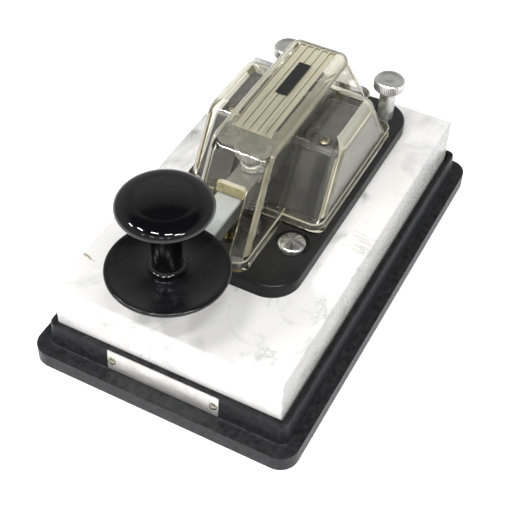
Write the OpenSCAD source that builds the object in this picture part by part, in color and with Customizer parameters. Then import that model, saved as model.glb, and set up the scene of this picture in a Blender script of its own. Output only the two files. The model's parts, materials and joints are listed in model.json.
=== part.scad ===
// Straight telegraph key on a marble slab in a stepped tray, with a clear lift-off cover.
// Millimetres, +Z up, operator's side at -Y, right-hand side at +X.
// The origin is the centre of the whole key's footprint, on the surface that it stands on.

/* [Base tray] */
// Width of the tray's flange
flange_w = 110; // [100:1:130]
// Length of the tray's flange
flange_l = 178; // [174:1:200]
// Height of the flange's top above its underside
flange_h = 6.8; // [6:0.1:9]
// Radius of the flange's corners
flange_r = 7.3; // [5:0.1:12]
// Height of the rim above the flange
rim_rise = 10.9; // [8:0.1:14]
// Thickness of the tray's upstanding wall
wall_t = 1.9; // [1.4:0.1:2.2]
// Thickness of the tray's floor
floor_t = 2.8; // [2:0.1:3.4]
// Lean of the wall over its height
wall_draft = 0.7; // [0.2:0.1:1.2]
// Width of the stiffening ribs under the floor
rib_t = 1.8; // [1.2:0.1:3]

/* [Rubber feet] */
// Diameter of a rubber foot
foot_d = 14; // [10:0.5:16]
// Height by which the feet stand below the tray
foot_proud = 1; // [0.5:0.1:2]
// Distance from the flange's edge to the middle of a foot
foot_inset = 12; // [10.5:0.5:14]

/* [Marble slab] */
// Width of the marble slab
marble_w = 93.6; // [88:0.1:104]
// Length of the marble slab
marble_l = 158.2; // [150:0.1:180]
// Thickness of the marble slab
marble_h = 30; // [24:0.5:36]
// Gap between the slab and the tray's wall at each side
marble_gap = 0.9; // [0.3:0.1:2]
// Extra gap behind the slab, which lies against the front wall
marble_back_gap = 2.4; // [1:0.1:5]

/* [Nameplate] */
// Width of the bare nameplate
nameplate_w = 46.5; // [30:0.5:60]
// Height of the nameplate
nameplate_h = 9.2; // [7:0.1:9.6]
// Thickness of the nameplate
nameplate_t = 0.5; // [0.3:0.1:1]

/* [Mechanism plate] */
// Width of the black plate that carries the mechanism
plate_w = 63.2; // [63:0.1:72]
// Length of the plate
plate_l = 118.8; // [118:0.1:126]
// Thickness of the plate
plate_t = 6; // [5:0.1:9]
// Radius of the plate's corners
plate_r = 12; // [8:0.5:14]
// Distance of the plate's middle behind the tray's middle
plate_y = 11.1; // [9:0.1:13]

/* [Dome bolts] */
// Diameter of the domed bolt head
dome_d = 10.6; // [9:0.1:12]
// Diameter of the recess round the head
dome_recess_d = 14; // [13:0.1:14.4]
// Sideways distance of the dome bolts from the middle
dome_x = 21.8; // [21.4:0.1:22.6]
// Distance from the plate's front edge to the dome bolts
dome_inset = 24; // [22:0.1:24.2]
// Diameter of the long bolts' and terminal studs' shanks
stud_d = 4; // [3:0.5:5]

/* [Terminals] */
// Sideways distance of the terminals from the middle
terminal_x = 22.7; // [22.5:0.1:24]
// Distance from the plate's back edge to the terminals
terminal_inset = 9.6; // [9:0.1:10.6]
// Diameter of the terminal post
post_d = 6.6; // [6:0.1:8]
// Height of the terminal post above the plate
post_h = 12.4; // [9:0.1:14]
// Diameter of the terminal's knurled nut
terminal_nut_d = 12.5; // [11:0.1:13]
// Height of the terminal's nut
terminal_nut_h = 6.6; // [6:0.1:9]

/* [Lever] */
// Width of the lever
lever_w = 10; // [8:0.1:10.6]
// Height of the lever
lever_h = 7; // [6:0.1:8]
// Height of the lever's underside above the plate
lever_clear = 14.2; // [13:0.1:16]
// Distance of the knob's axis in front of the tray's middle
knob_y = 75.5; // [72:0.1:80]
// Distance of the pivot behind the tray's middle
pivot_y = 8; // [7:0.1:10]
// Diameter of the pivot shaft
pivot_d = 4; // [3:0.1:4.4]
// Distance of the contact in front of the tray's middle
contact_y = 31; // [30:0.1:31.6]
// Distance of the spring screw in front of the tray's middle
spring_y = 15; // [14:0.1:16]
// Distance of the gap screw behind the tray's middle
gap_y = 34; // [32:0.1:35]
// Length of the lever behind the gap screw
lever_tail = 7; // [6:0.1:8]
// Contact gap with the key up
contact_gap = 0.65; // [0.4:0.05:1]

/* [Knob] */
// Diameter of the knob's skirt
skirt_d = 42.8; // [38:0.1:48]
// Thickness of the skirt at its rim
skirt_t = 3.4; // [2.6:0.1:4]
// Diameter of the button
button_d = 32.4; // [28:0.1:38]
// Height of the button's widest part above the lever
button_rise = 31.4; // [28:0.1:36]
// Diameter of the knob's neck
neck_d = 10.3; // [9:0.1:13]

/* [Return spring] */
// Mean diameter of the spring
spring_d = 6.6; // [6:0.1:7.2]
// Diameter of the spring's wire
wire_d = 0.9; // [0.7:0.1:1]
// Turns of the spring
spring_turns = 4; // [3:1:5]

/* [Adjusting screws] */
// Diameter of the adjusting screws' threads
screw_d = 4; // [3.4:0.1:4.4]
// Diameter of the spring screw's knurled head
spring_head_d = 13.1; // [11:0.1:13.4]
// Thickness of the spring screw's head
spring_head_h = 5; // [4:0.1:5.6]
// Height of the spring screw's head above the lever
spring_head_rise = 6.4; // [4.6:0.1:6.8]
// Diameter of the gap screw's knurled head
gap_head_d = 10; // [9:0.1:11]
// Thickness of the gap screw's head
gap_head_h = 4.6; // [4:0.1:5.4]
// Height of the gap screw's head above the lever
gap_head_rise = 4.6; // [4.4:0.1:6]
// Thickness of the lock nuts
lock_nut_h = 3; // [2.4:0.1:3.4]
// Diameter of the lock nuts
lock_nut_d = 9; // [7.5:0.1:9.6]

/* [Bearing blocks] */
// Gap between the lever and a bearing block
block_gap = 3.4; // [2.6:0.1:3.8]
// Outer diameter of a pivot bush
bush_d = 8; // [7:0.1:9]
// Sideways distance of the block screws from the middle
block_screw_x = 19; // [18:0.1:20]
// Depth of a pivot bush in its block
bush_l = 6; // [5:0.1:7]

/* [Clear cover] */
// Thickness of the cover's wall
cover_t = 1.8; // [1.4:0.1:2]
// Distance of the cover's feet from the plate's front and back edges
cover_inset = 1.9; // [1.5:0.1:3]
// Height of the hump above the plate
hump_h = 39.9; // [39:0.1:44]
// Half width of the hump at its top
hump_half = 9.2; // [9:0.1:10]
// Length over which the hump's front slope rises
hump_front_run = 25.2; // [24:0.1:27]
// Length over which the hump's back slope falls
hump_back_run = 30.6; // [28:0.1:33]
// Half width of the hump's nose at its foot
nose_half = 12.9; // [12:0.1:13]
// Height of the shoulders above the plate
shoulder_h = 29.2; // [28.6:0.1:31]
// Half width of the shoulders at their top
shoulder_top_half = 26; // [25.6:0.1:27]
// Length over which the shoulders' front slope rises
shoulder_front_run = 17.6; // [16:0.1:19]
// Length over which the shoulders' back slope falls
shoulder_back_run = 21.8; // [20:0.1:24]
// Distance from the plate's edge to the shoulder's foot at each side
shoulder_inset = 3; // [2:0.1:3.2]
// Height of the thick lip round the cover's foot
lip_h = 4.5; // [3:0.1:6]
// Width by which the lip stands out
lip_out = 0.7; // [0.4:0.1:1]
// Width of the slot for the lever
slot_w = 12.2; // [12:0.1:14]
// Height of the slot's top above the lever
slot_rise = 3.5; // [2.5:0.1:5]
// Number of grooves along the hump's top
groove_count = 5; // [3:1:6]
// Width of one groove
groove_w = 2.3; // [1.6:0.1:2.5]
// Distance from one groove to the next
groove_pitch = 3.1; // [2.6:0.1:3.2]
// Depth of one groove
groove_d = 0.5; // [0.2:0.1:0.8]

/* [Hidden] */
$fn = 64;
eps = 0.01;
slack = 0.2;
run_fit = 0.04;

frame_y = (knob_y + skirt_d / 2 - flange_l / 2) / 2;

tray_z = foot_proud;
floor_z = tray_z + flange_h;
rim_z = floor_z + rim_rise;
under_h = flange_h - floor_t;
marble_z = floor_z + marble_h;
plate_z = marble_z + plate_t;
lever_z = plate_z + lever_clear;
lever_top = lever_z + lever_h;
pivot_z = lever_z + lever_h / 2;

pocket_w = marble_w + 2 * marble_gap;
pocket_l = marble_l + slack + marble_back_gap;
marble_y = -(pocket_l - marble_l) / 2 + slack;
wall_w = pocket_w + 2 * (wall_t + wall_draft);
wall_l = pocket_l + 2 * (wall_t + wall_draft);
wall_r = 3.4;
cove_r = 0.8;

plate_front = plate_y - plate_l / 2;
plate_back = plate_y + plate_l / 2;
dome_y = plate_front + dome_inset;
dome_depth = 1.3;
terminal_y = plate_back - terminal_inset;
post_edge = 0.3;
nut_taper_h = 1.4;
nut_crown = 1.4;
stud_gap = 0.2;
bolt_places = [[-dome_x, dome_y], [dome_x, dome_y], [-terminal_x, terminal_y], [terminal_x, terminal_y]];
bolt_boss_d = 17;
clamp_nut_h = 2.4;
washer_t = 1;
washer_d = 10;
foot_places = [for (x = [-1, 1], y = [-1, 1]) [x * (flange_w / 2 - foot_inset), y * (flange_l / 2 - foot_inset)]];
foot_screw_d = 3;

nose_front = plate_front + cover_inset;
hump_back = plate_back - cover_inset;
hump_top_front = nose_front + hump_front_run;
hump_bend_run = 3.5;
hump_bend_drop = 4.4;
hump_bend_y = hump_top_front - hump_bend_run;
hump_bend_z = hump_h - hump_bend_drop;
hump_top_back = hump_back - hump_back_run;
shoulder_half = plate_w / 2 - shoulder_inset;
dome_room = 1;
terminal_room = 1.9;
shoulder_front = dome_y + dome_recess_d / 2 + lip_out + dome_room;
shoulder_back = terminal_y - terminal_nut_d / 2 - lip_out - terminal_room;
shoulder_lean = shoulder_half - shoulder_top_half;
hump_foot_r = 4;
hump_edge_r = 2.4;
shoulder_foot_r = 4.6;
shoulder_edge_r = 3;
slot_top = lever_top + slot_rise;
slot_reach = 24.5;
slot_r = 2;

block_play = 0.8;
block_skin = cover_t + block_play;
block_drop = 2;
block_h = shoulder_h - cover_t - block_drop;
block_top = plate_z + block_h;
block_in = lever_w / 2 + block_gap;
block_corner_r = 3.4;
block_bend_r = 4;
block_edge_r = 1.4;
block_screw_y = pivot_y - 1.7;
block_screw_d = 3;
block_screw_head_d = 4.6;
block_screw_head_h = 1.7;
block_screw_sink = 0.6;
peg_d = 3;
peg_places = [-13, 30.5];
peg_h = 2;
hollow_behind = 9;
hollow_l = 15;
strap_w = 5;
strap_t = 0.8;
strap_eye = 2;
strap_z = marble_z + 0.1;

seat_h = 1.2;
cap_h = 1.6;
cap_drop = 5;
spring_z0 = plate_z + seat_h;
spring_z1 = lever_z - cap_drop;
contact_top = lever_z - 1.6 - contact_gap;
stop_gap = 0.05;
stop_h = 13;
stop_top = plate_z + stop_h;

// Shared shapes

function unit(v) = v / norm(v);

// A flat rectangle with round corners, centred
module round_rect(w, l, r) {
    square([w - 2 * r, l], center = true);
    square([w, l - 2 * r], center = true);
    for (x = [-1, 1], y = [-1, 1])
        translate([x * (w / 2 - r), y * (l / 2 - r)]) circle(r);
}

// A cylinder between two heights
module post(d, z0, z1) {
    translate([0, 0, z0]) cylinder(d = d, h = z1 - z0);
}

// A straight-knurled disc: a toothed band between two chamfered rims
module knurled(d, h, teeth = 44) {
    tooth = 0.35;
    rim = 0.5;
    rim_r = d / 2 - tooth - 0.1;
    translate([0, 0, rim]) linear_extrude(h - 2 * rim) polygon([for (i = [0:2 * teeth - 1])
        (d / 2 - (i % 2) * tooth) * [cos(180 * i / teeth), sin(180 * i / teeth)]]);
    rotate_extrude() polygon([[0, 0], [rim_r - rim, 0], [rim_r, rim], [rim_r, h - rim], [rim_r - rim, h], [0, h]]);
}

// A hexagonal nut with chamfered corners and a plain bore
module hex_nut(across, h, bore) {
    difference() {
        intersection() {
            cylinder(d = across / cos(30), h = h, $fn = 6);
            rotate_extrude() polygon([[0, 0], [across / 2, 0], [across / 2 + 0.5, 0.4],
                [across / 2 + 0.5, h - 0.4], [across / 2, h], [0, h]]);
        }
        translate([0, 0, -eps]) cylinder(d = bore, h = h + 2 * eps);
    }
}

// A flat profile carried round a rectangle with round corners: its x is the distance outwards
module wall_ring(w, l, r) {
    for (turn = [0, 180]) rotate(turn) {
        translate([w / 2, 0, 0]) rotate([90, 0, 0]) linear_extrude(l - 2 * r, center = true) children();
        translate([0, l / 2, 0]) rotate([90, 0, 90]) linear_extrude(w - 2 * r, center = true) children();
    }
    for (corner = [0:3]) {
        x = (corner == 0 || corner == 3 ? 1 : -1) * (w / 2 - r);
        y = (corner < 2 ? 1 : -1) * (l / 2 - r);
        translate([x, y, 0]) rotate(90 * corner) rotate_extrude(angle = 90) translate([r, 0]) children();
    }
}

// Base group

// The black stepped tray: flange, upstanding wall, floor, ribs and bosses
module base_tray() color("#1c1c1e") difference() {
    union() {
        difference() {
            translate([0, 0, tray_z]) linear_extrude(flange_h) round_rect(flange_w, flange_l, flange_r);
            translate([0, 0, tray_z - eps]) linear_extrude(under_h)
                round_rect(flange_w - 2 * wall_t - 3, flange_l - 2 * wall_t - 3, flange_r - wall_t);
        }
        translate([0, 0, floor_z]) wall_ring(wall_w, wall_l, wall_r) wall_profile();
        for (x = [-1, 1]) translate([x * marble_w / 6 - rib_t / 2, -flange_l / 2 + wall_t, tray_z + 0.6])
            cube([rib_t, flange_l - 2 * wall_t, under_h]);
        for (y = [-1:1]) translate([-flange_w / 2 + wall_t, y * marble_l / 4 - rib_t / 2, tray_z + 0.6])
            cube([flange_w - 2 * wall_t, rib_t, under_h]);
        for (p = bolt_places) translate(p) post(bolt_boss_d, tray_z + 0.6, tray_z + under_h + eps);
        for (p = foot_places) translate(p) post(foot_d + 2 * wall_t, tray_z, tray_z + under_h + eps);
    }
    for (p = bolt_places) translate(p) {
        post(washer_d + 3, 0, tray_z + under_h);
        post(stud_d + 0.6, 0, floor_z + 1);
    }
    for (p = foot_places) translate(p) {
        post(foot_d + 0.2, 0, tray_z + under_h);
        post(foot_screw_d, 0, floor_z - 0.6);
    }
    on_front_wall() for (x = [-1, 1])
        translate([x * rivet_x, nameplate_up + nameplate_h / 2, -1.2]) cylinder(d = 1.7, h = 3);
}

// Section of the tray's wall: x runs outwards, y is the height above the flange
module wall_profile() {
    polygon(concat(
        [[-wall_t - wall_draft, -1], [cove_r, -1]],
        [for (a = [270:-15:180]) [cove_r + cove_r * cos(a), cove_r + cove_r * sin(a)]],
        [[-wall_draft + 0.05, rim_rise - 0.5], [-wall_draft - 0.45, rim_rise]],
        [for (line = [1, 2], k = [-1, 0, 1]) [-wall_draft - 0.45 - line * rim_line_pitch - k * rim_line_w / 2,
            rim_rise - (k == 0 ? rim_line_d : 0)]],
        [[-wall_t - wall_draft, rim_rise]]));
}
rim_line_pitch = 0.5;
rim_line_w = 0.24;
rim_line_d = 0.2;

// Four rubber feet with a recess for their screws
module rubber_feet() color("#242426") for (p = foot_places) translate(p) rotate_extrude()
    polygon([[2, 1.6], [foot_screw_d / 2 + 0.2, 1.6], [foot_screw_d / 2 + 0.2, tray_z + under_h],
        [foot_d / 2, tray_z + under_h], [foot_d / 2, 0.6], [foot_d / 2 - 0.6, 0], [3.4, 0], [3.4, 1.6]]);

// Pan-head screws that hold the feet
module foot_screws() color("silver") for (p = foot_places) translate(p) {
    post(foot_screw_d, 1.6, floor_z - 0.8);
    translate([0, 0, 0.3]) rotate_extrude()
        polygon([[0, 0.1], [2, 0.1], [2.8, 0.6], [2.8, 1.3], [0, 1.3]]);
}

// The polished marble slab, drilled for the long bolts and studs
module marble_slab() color("#ecebe6") difference() {
    translate([0, marble_y, floor_z]) difference() {
        linear_extrude(marble_h) round_rect(marble_w, marble_l, 0.8);
        for (x = [-1, 1]) translate([x * marble_w / 2, 0, marble_h]) rotate([0, 45, 0])
            cube([1.2, marble_l + 1, 1.2], center = true);
        for (y = [-1, 1]) translate([0, y * marble_l / 2, marble_h]) rotate([45, 0, 0])
            cube([marble_w + 1, 1.2, 1.2], center = true);
    }
    for (p = bolt_places) translate(p) post(stud_d + 1.6, floor_z - 1, marble_z + 1);
}

// Places something on the tray's leaning front wall, with +Y up the wall and +Z out of it
module on_front_wall() {
    lean = atan((wall_draft - 0.05) / (rim_rise - 0.5 - cove_r));
    translate([0, -wall_l / 2, floor_z + cove_r]) rotate([90 - lean, 0, 0]) children();
}
nameplate_up = 0.2;
rivet_x = nameplate_w / 2 - 2;

// The bare metal nameplate
module nameplate() color("#d8d6cd") on_front_wall() difference() {
    translate([-nameplate_w / 2, nameplate_up, 0]) cube([nameplate_w, nameplate_h, nameplate_t]);
    for (x = [-1, 1]) translate([x * rivet_x, nameplate_up + nameplate_h / 2, -1]) cylinder(d = 1.8, h = 3);
}

// Two round-head drive pins through the nameplate into the wall
module nameplate_rivets() color("#b9b2a0") on_front_wall()
    for (x = [-1, 1]) translate([x * rivet_x, nameplate_up + nameplate_h / 2, 0]) rotate_extrude()
        polygon(concat([[0, -1], [0.8, -1], [0.8, nameplate_t], [1.6, nameplate_t]],
            [for (a = [0:15:90]) [1.6 * cos(a), nameplate_t + 0.1 + 0.8 * sin(a)]]));

// Mechanism plate and its fixings

// The black moulded plate with rounded edges
module mechanism_plate() color("#18181a") difference() {
    translate([0, plate_y, 0]) union() {
        translate([0, 0, marble_z]) linear_extrude(plate_t - 1.2) round_rect(plate_w, plate_l, plate_r);
        translate([0, 0, marble_z]) linear_extrude(plate_t)
            round_rect(plate_w - 2.4, plate_l - 2.4, plate_r - 1.2);
        translate([0, 0, plate_z - 1.2]) wall_ring(plate_w, plate_l, plate_r)
            polygon(concat([[-1.4, -0.2], [0, -0.2]], [for (a = [0:15:90]) [-1.2 + 1.2 * cos(a), 1.2 * sin(a)]],
                [[-1.4, 1.2]]));
    }
    for (x = [-1, 1]) translate([x * dome_x, dome_y, 0]) {
        post(dome_recess_d, plate_z - dome_depth, plate_z + 1);
        post(stud_d + 0.6, 0, plate_z);
    }
    for (x = [-1, 1]) translate([x * terminal_x, terminal_y, 0]) post(stud_d + 0.6, 0, plate_z + 1);
    for (x = [-1, 1]) translate([x * block_screw_x, block_screw_y, 0]) {
        post(block_screw_d, marble_z + 1, plate_z + 1);
        for (y = peg_places) translate([0, y, 0]) post(peg_d + 0.2, plate_z - peg_h - 0.2, plate_z + 1);
    }
    translate([0, -contact_y, 0]) post(4, 0, plate_z + 1);
    translate([0, -contact_y, 0]) post(9, 0, marble_z + 4);
    translate([0, -spring_y, 0]) post(3, 0, plate_z + 1);
    translate([0, gap_y, 0]) post(4, marble_z + 1, plate_z + 1);
    translate([0, 0, marble_z - eps]) linear_extrude(strap_t + 0.4) {
        strap_path(contact_route, strap_w + 0.6);
        strap_path(frame_route, strap_w + 0.6);
    }
}

// Two polished domed bolts through plate, slab and tray
module front_dome_bolts() color("#d9dadb") for (x = [-1, 1]) translate([x * dome_x, dome_y, 0]) {
    post(stud_d, tray_z + 0.2, plate_z - dome_depth + eps);
    translate([0, 0, plate_z - dome_depth]) rotate_extrude() polygon(concat([[0, 0], [dome_d / 2, 0]],
        [for (a = [0:10:90]) [dome_d / 2 * cos(a), 1.6 + 1.7 * sin(a)]]));
}

// Washers and nuts under the tray's floor
module clamp_washers() color("silver") for (p = bolt_places) translate(p) difference() {
    post(washer_d, tray_z + under_h - washer_t, tray_z + under_h);
    post(stud_d + 0.3, 0, floor_z);
}
module clamp_nuts() color("silver") for (p = bolt_places)
    translate([p[0], p[1], tray_z + under_h - washer_t - clamp_nut_h]) hex_nut(7, clamp_nut_h, stud_d + 0.05);

// A terminal: plain post, a stud above for the nut and a stud below to the tray
module terminal_post(side) color("#c9cacb") translate([side * terminal_x, terminal_y, 0]) {
    post(stud_d, tray_z + 0.2, plate_z);
    rotate_extrude() polygon([[0, plate_z], [post_d / 2, plate_z],
        [post_d / 2, plate_z + post_h - post_edge], [post_d / 2 - post_edge, plate_z + post_h],
        [0, plate_z + post_h]]);
    post(stud_d, plate_z + post_h - eps, plate_z + post_h + terminal_nut_h - nut_crown - stud_gap);
}
module left_terminal_post() terminal_post(-1);
module right_terminal_post() terminal_post(1);

// The terminal's thumb nut: tapered foot, knurled head and a blind threaded bore
module terminal_nut(side) color("#c4c6c8")
    translate([side * terminal_x, terminal_y, plate_z + post_h + 0.1]) difference() {
        union() {
            rotate_extrude() polygon([[0, 0], [post_d / 2 + 0.3, 0], [terminal_nut_d / 2 - 0.6, nut_taper_h],
                [terminal_nut_d / 2 - 0.6, nut_taper_h + 0.3], [0, nut_taper_h + 0.3]]);
            translate([0, 0, nut_taper_h + 0.2]) knurled(terminal_nut_d, terminal_nut_h - nut_taper_h - 0.2);
        }
        translate([0, 0, -eps]) cylinder(d = stud_d + 2 * run_fit, h = terminal_nut_h - nut_crown);
    }
module left_terminal_nut() terminal_nut(-1);
module right_terminal_nut() terminal_nut(1);

// Brass straps in grooves under the plate
contact_route = [[0, -contact_y], [-12, -contact_y + 12], [-12, terminal_y - 14], [-terminal_x, terminal_y]];
frame_route = [[0, -spring_y], [12, -spring_y + 12], [12, terminal_y - 14], [terminal_x, terminal_y]];
function strap_edge(route, half) = [for (i = [0:len(route) - 1]) let (
    before = unit(route[max(i, 1)] - route[max(i, 1) - 1]),
    after = unit(route[min(i, len(route) - 2) + 1] - route[min(i, len(route) - 2)]),
    bisector = (before + after) / (1 + before * after))
    route[i] + half * [-bisector[1], bisector[0]]];
module strap_path(route, w) {
    left = strap_edge(route, w / 2);
    right = strap_edge(route, -w / 2);
    polygon(concat(left, [for (i = [len(right) - 1:-1:0]) right[i]]));
    for (p = [route[0], route[len(route) - 1]]) translate(p) circle(d = w + strap_eye);
}
module contact_strap() color("#c9a24a") translate([0, 0, strap_z]) difference() {
    linear_extrude(strap_t) strap_path(contact_route, strap_w);
    translate([0, -contact_y, -1]) cylinder(d = 3.2, h = 3);
    translate([-terminal_x, terminal_y, -1]) cylinder(d = stud_d + 0.3, h = 3);
}
module frame_strap() color("#c9a24a") translate([0, 0, strap_z]) difference() {
    linear_extrude(strap_t) strap_path(frame_route, strap_w);
    translate([0, -spring_y, -1]) cylinder(d = 2.2, h = 3);
    translate([terminal_x, terminal_y, -1]) cylinder(d = stud_d + 0.3, h = 3);
}

// Bearings

// Points round a bend between a wall that leans by an angle and a flat top, from the wall on
function bend(y, z, r, lean, way) = [for (t = [0:1/6:1]) let (a = (90 - lean) * (1 - t))
    [y - way * r * sin(a), z + r * cos(a)]];

// Side outline of a bearing block: y against height above the plate, with a round front bend
module block_side() {
    bend_z = block_h - block_bend_r;
    edge_z = block_h - block_edge_r;
    rear = bend(shoulder_rear(edge_z, block_skin + block_edge_r), edge_z, block_edge_r,
        atan(shoulder_back_run / shoulder_h), -1);
    polygon(concat([[shoulder_nose(0, block_skin), 0]],
        bend(shoulder_nose(bend_z, block_skin + block_bend_r), bend_z, block_bend_r,
            atan(shoulder_front_run / shoulder_h), 1),
        [for (i = [len(rear) - 1:-1:0]) rear[i]], [[shoulder_rear(0, block_skin), 0]]));
}

// Front outline of a block: inner face upright, outer face leaning with the cover
module block_end() {
    edge_z = block_h - block_edge_r;
    outer = bend(shoulder_side(edge_z, block_skin + block_edge_r), edge_z, block_edge_r,
        atan(shoulder_lean / shoulder_h), -1);
    polygon(concat([[block_in, 0], [block_in, block_h - 0.6], [block_in + 0.6, block_h]],
        [for (i = [len(outer) - 1:-1:0]) outer[i]], [[shoulder_side(0, block_skin), 0]]));
}

// A bearing block: a moulding with a bush hole, a screw hole and a hollow underside
module bearing_block(side) color("#1d1e20") mirror([side < 0 ? 1 : 0, 0, 0]) {
    difference() {
        translate([0, 0, plate_z]) intersection() {
            front = shoulder_nose(0, block_skin);
            back = shoulder_rear(0, block_skin);
            rotate([90, 0, 90]) linear_extrude(shoulder_half) block_side();
            translate([0, back, 0]) rotate([90, 0, 0]) linear_extrude(back - front) block_end();
            translate([0, (front + back) / 2]) linear_extrude(block_h)
                round_rect(2 * shoulder_side(0, block_skin), back - front, block_corner_r);
        }
        translate([block_in - 1, pivot_y, pivot_z]) rotate([0, 90, 0]) cylinder(d = bush_d, h = bush_l + 1);
        translate([block_screw_x, block_screw_y, 0]) {
            post(block_screw_d + 0.4, 0, block_top + 5);
            post(block_screw_head_d + 0.8, block_top - block_screw_sink, block_top + 5);
        }
        translate([block_in + 3, block_screw_y + hollow_behind, plate_z - 1]) cube([11, hollow_l, 13]);
    }
    translate([block_screw_x, block_screw_y, 0])
        for (y = peg_places) translate([0, y, 0]) post(peg_d, plate_z - peg_h, plate_z + eps);
}
module left_bearing_block() bearing_block(-1);
module right_bearing_block() bearing_block(1);

// Long cross-head screws down through the blocks into the plate
module block_screws() color("#cfc6a8") for (x = [-1, 1]) translate([x * block_screw_x, block_screw_y, 0])
    difference() {
        union() {
            post(block_screw_d - 0.1, marble_z + 1.4, block_top - 0.5);
            translate([0, 0, block_top - block_screw_sink]) rotate_extrude() polygon([[0, 0],
                [block_screw_head_d / 2, 0], [block_screw_head_d / 2, block_screw_head_h * 0.4],
                [block_screw_head_d * 0.41, block_screw_head_h * 0.76],
                [block_screw_head_d * 0.22, block_screw_head_h * 0.95], [0, block_screw_head_h]]);
        }
        for (a = [0, 90]) rotate(a) translate([-1.3, -0.25, block_top + 0.4]) cube([2.6, 0.5, 2]);
    }

// Brass bushes, thrust washers and the cross shaft
module pivot_bushes() color("#c9a24a") for (x = [-1, 1]) translate([0, pivot_y, pivot_z])
    rotate([0, x * 90, 0]) difference() {
        translate([0, 0, block_in - 0.6]) cylinder(d = bush_d - 0.04, h = bush_l + 0.6);
        cylinder(d = pivot_d + 2 * run_fit, h = block_in + bush_l + 1);
    }
module pivot_washers() color("#d9b45a") for (x = [-1, 1]) translate([0, pivot_y, pivot_z])
    rotate([0, x * 90, 0]) difference() {
        translate([0, 0, lever_w / 2 + 0.02]) cylinder(d = 7, h = block_gap - 0.6 - 0.1);
        cylinder(d = pivot_d + 2 * run_fit, h = block_in);
    }
module pivot_shaft() color("silver") translate([0, pivot_y, pivot_z]) rotate([0, 90, 0])
    cylinder(d = pivot_d, h = 2 * (block_in + bush_l - 0.6), center = true);

// Lever group

// The flat lever with its cross bore and all its upright holes
module lever_arm() color("#d4d6d8") difference() {
    translate([0, 0, lever_z]) union() {
        translate([0, (gap_y + lever_tail - knob_y) / 2, 0]) linear_extrude(lever_h)
            square([lever_w, knob_y + gap_y + lever_tail], center = true);
        translate([0, -knob_y, 0]) cylinder(d = lever_w, h = lever_h);
    }
    for (x = [-1, 1], z = [lever_z, lever_top]) translate([x * lever_w / 2, 0, z])
        rotate([0, 45, 0]) cube([0.6, 2 * knob_y + lever_w + 2, 0.6], center = true);
    translate([0, pivot_y, pivot_z]) rotate([0, 90, 0]) cylinder(d = pivot_d + 0.02, h = 40, center = true);
    translate([0, -knob_y, 0]) post(4.2, 0, 200);
    translate([0, -knob_y, 0]) post(8.4, 0, lever_z + 2.2);
    translate([0, -contact_y, 0]) post(2.5, lever_z - 1, lever_z + 3);
    translate([0, -spring_y, 0]) post(screw_d + 2 * run_fit, 0, 200);
    translate([0, gap_y, 0]) post(screw_d + 2 * run_fit, 0, 200);
}

// The dished skirt with its rounded rim and the raised ring round the neck's foot
module knob_skirt() color("#121214") translate([0, -knob_y, lever_top]) rotate_extrude()
    polygon(concat([[2.1, 0], [skirt_d / 2 - 1.6, 0]],
        [for (a = [-90:15:90]) [skirt_d / 2 - skirt_t / 2 + skirt_t / 2 * cos(a), skirt_t / 2 * (1 + sin(a))]],
        [[skirt_d / 2 - 2.6, skirt_t - 0.3], [skirt_d / 2 - 5, skirt_t - 0.9], [neck_d / 2 + 5, skirt_t - 0.9],
            [neck_d / 2 + 3, skirt_t - 0.4], [2.1, skirt_t - 0.4]]));

// The mushroom button with its neck and flared foot
module knob_button() color("#121214") translate([0, -knob_y, lever_top]) rotate_extrude() {
    foot_r = neck_d / 2 + 1.7;
    foot_z = skirt_t + 2.6;
    rim_r = 1.7;
    rim_x = button_d / 2 - rim_r;
    flare_z = button_rise - 9;
    dome_tilt = 20;
    dome_r = (rim_x + rim_r * sin(dome_tilt)) / sin(dome_tilt);
    dome_z = button_rise + rim_r * cos(dome_tilt) - dome_r * cos(dome_tilt);
    polygon(concat([[2.1, skirt_t - 0.4], [foot_r, skirt_t - 0.4]],
        [for (a = [270:-15:180]) [foot_r + 1.7 * cos(a), foot_z + 1.7 * sin(a)]],
        [for (a = [0:10:80]) [neck_d / 2 + (rim_x - neck_d / 2) * (1 - cos(a)),
            flare_z + (button_rise - rim_r - flare_z) * sin(a)]],
        [for (a = [-90:15:90 - dome_tilt]) [rim_x + rim_r * cos(a), button_rise + rim_r * sin(a)]],
        [for (a = [dome_tilt:-2.5:0]) [dome_r * sin(a), dome_z + dome_r * cos(a)]],
        [[0, button_rise - 12], [2.1, button_rise - 12]]));
}

// The screw that comes up through the lever and skirt into the button
module knob_screw() color("silver") translate([0, -knob_y, 0]) {
    post(4, lever_z + 0.1, lever_top + button_rise - 12.3);
    post(8, lever_z + 0.1, lever_z + 2.2);
}

// The silver contact riveted into the lever
module upper_contact() color("#e4e4e0") translate([0, -contact_y, 0]) {
    post(2.48, lever_z - eps, lever_z + 2.8);
    post(5, lever_z - 1.6, lever_z);
}

// The lower contact's post on the plate, with its stud and nut below
module lower_contact() color("#c9a24a") translate([0, -contact_y, 0]) {
    post(8.5, plate_z, plate_z + 2);
    post(5.4, plate_z + 2 - eps, contact_top - 1);
    post(4.6, contact_top - 1 - eps, contact_top);
    post(3, strap_z + 0.1, plate_z);
}
module lower_contact_nut() color("#c9a24a") translate([0, -contact_y, marble_z + 1.1]) hex_nut(6, 2.4, 3.05);

// Return spring between a cup on the plate and a cap under the lever
module spring_seat() color("#c9a24a") translate([0, -spring_y, 0]) {
    difference() {
        post(spring_d + 3.4, plate_z, plate_z + seat_h + 1);
        post(spring_d + 1.8, plate_z + seat_h, plate_z + 9);
    }
    post(2, strap_z + 0.1, plate_z + eps);
}
module spring_cap() color("#c9a24a") translate([0, -spring_y, 0]) difference() {
    union() {
        post(spring_d + 2.2, spring_z1, spring_z1 + cap_h);
        post(spring_d - wire_d - 0.8, spring_z1 - 1.6, spring_z1 + eps);
    }
    post(3, spring_z1 + 0.4, spring_z1 + 5);
}

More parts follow.
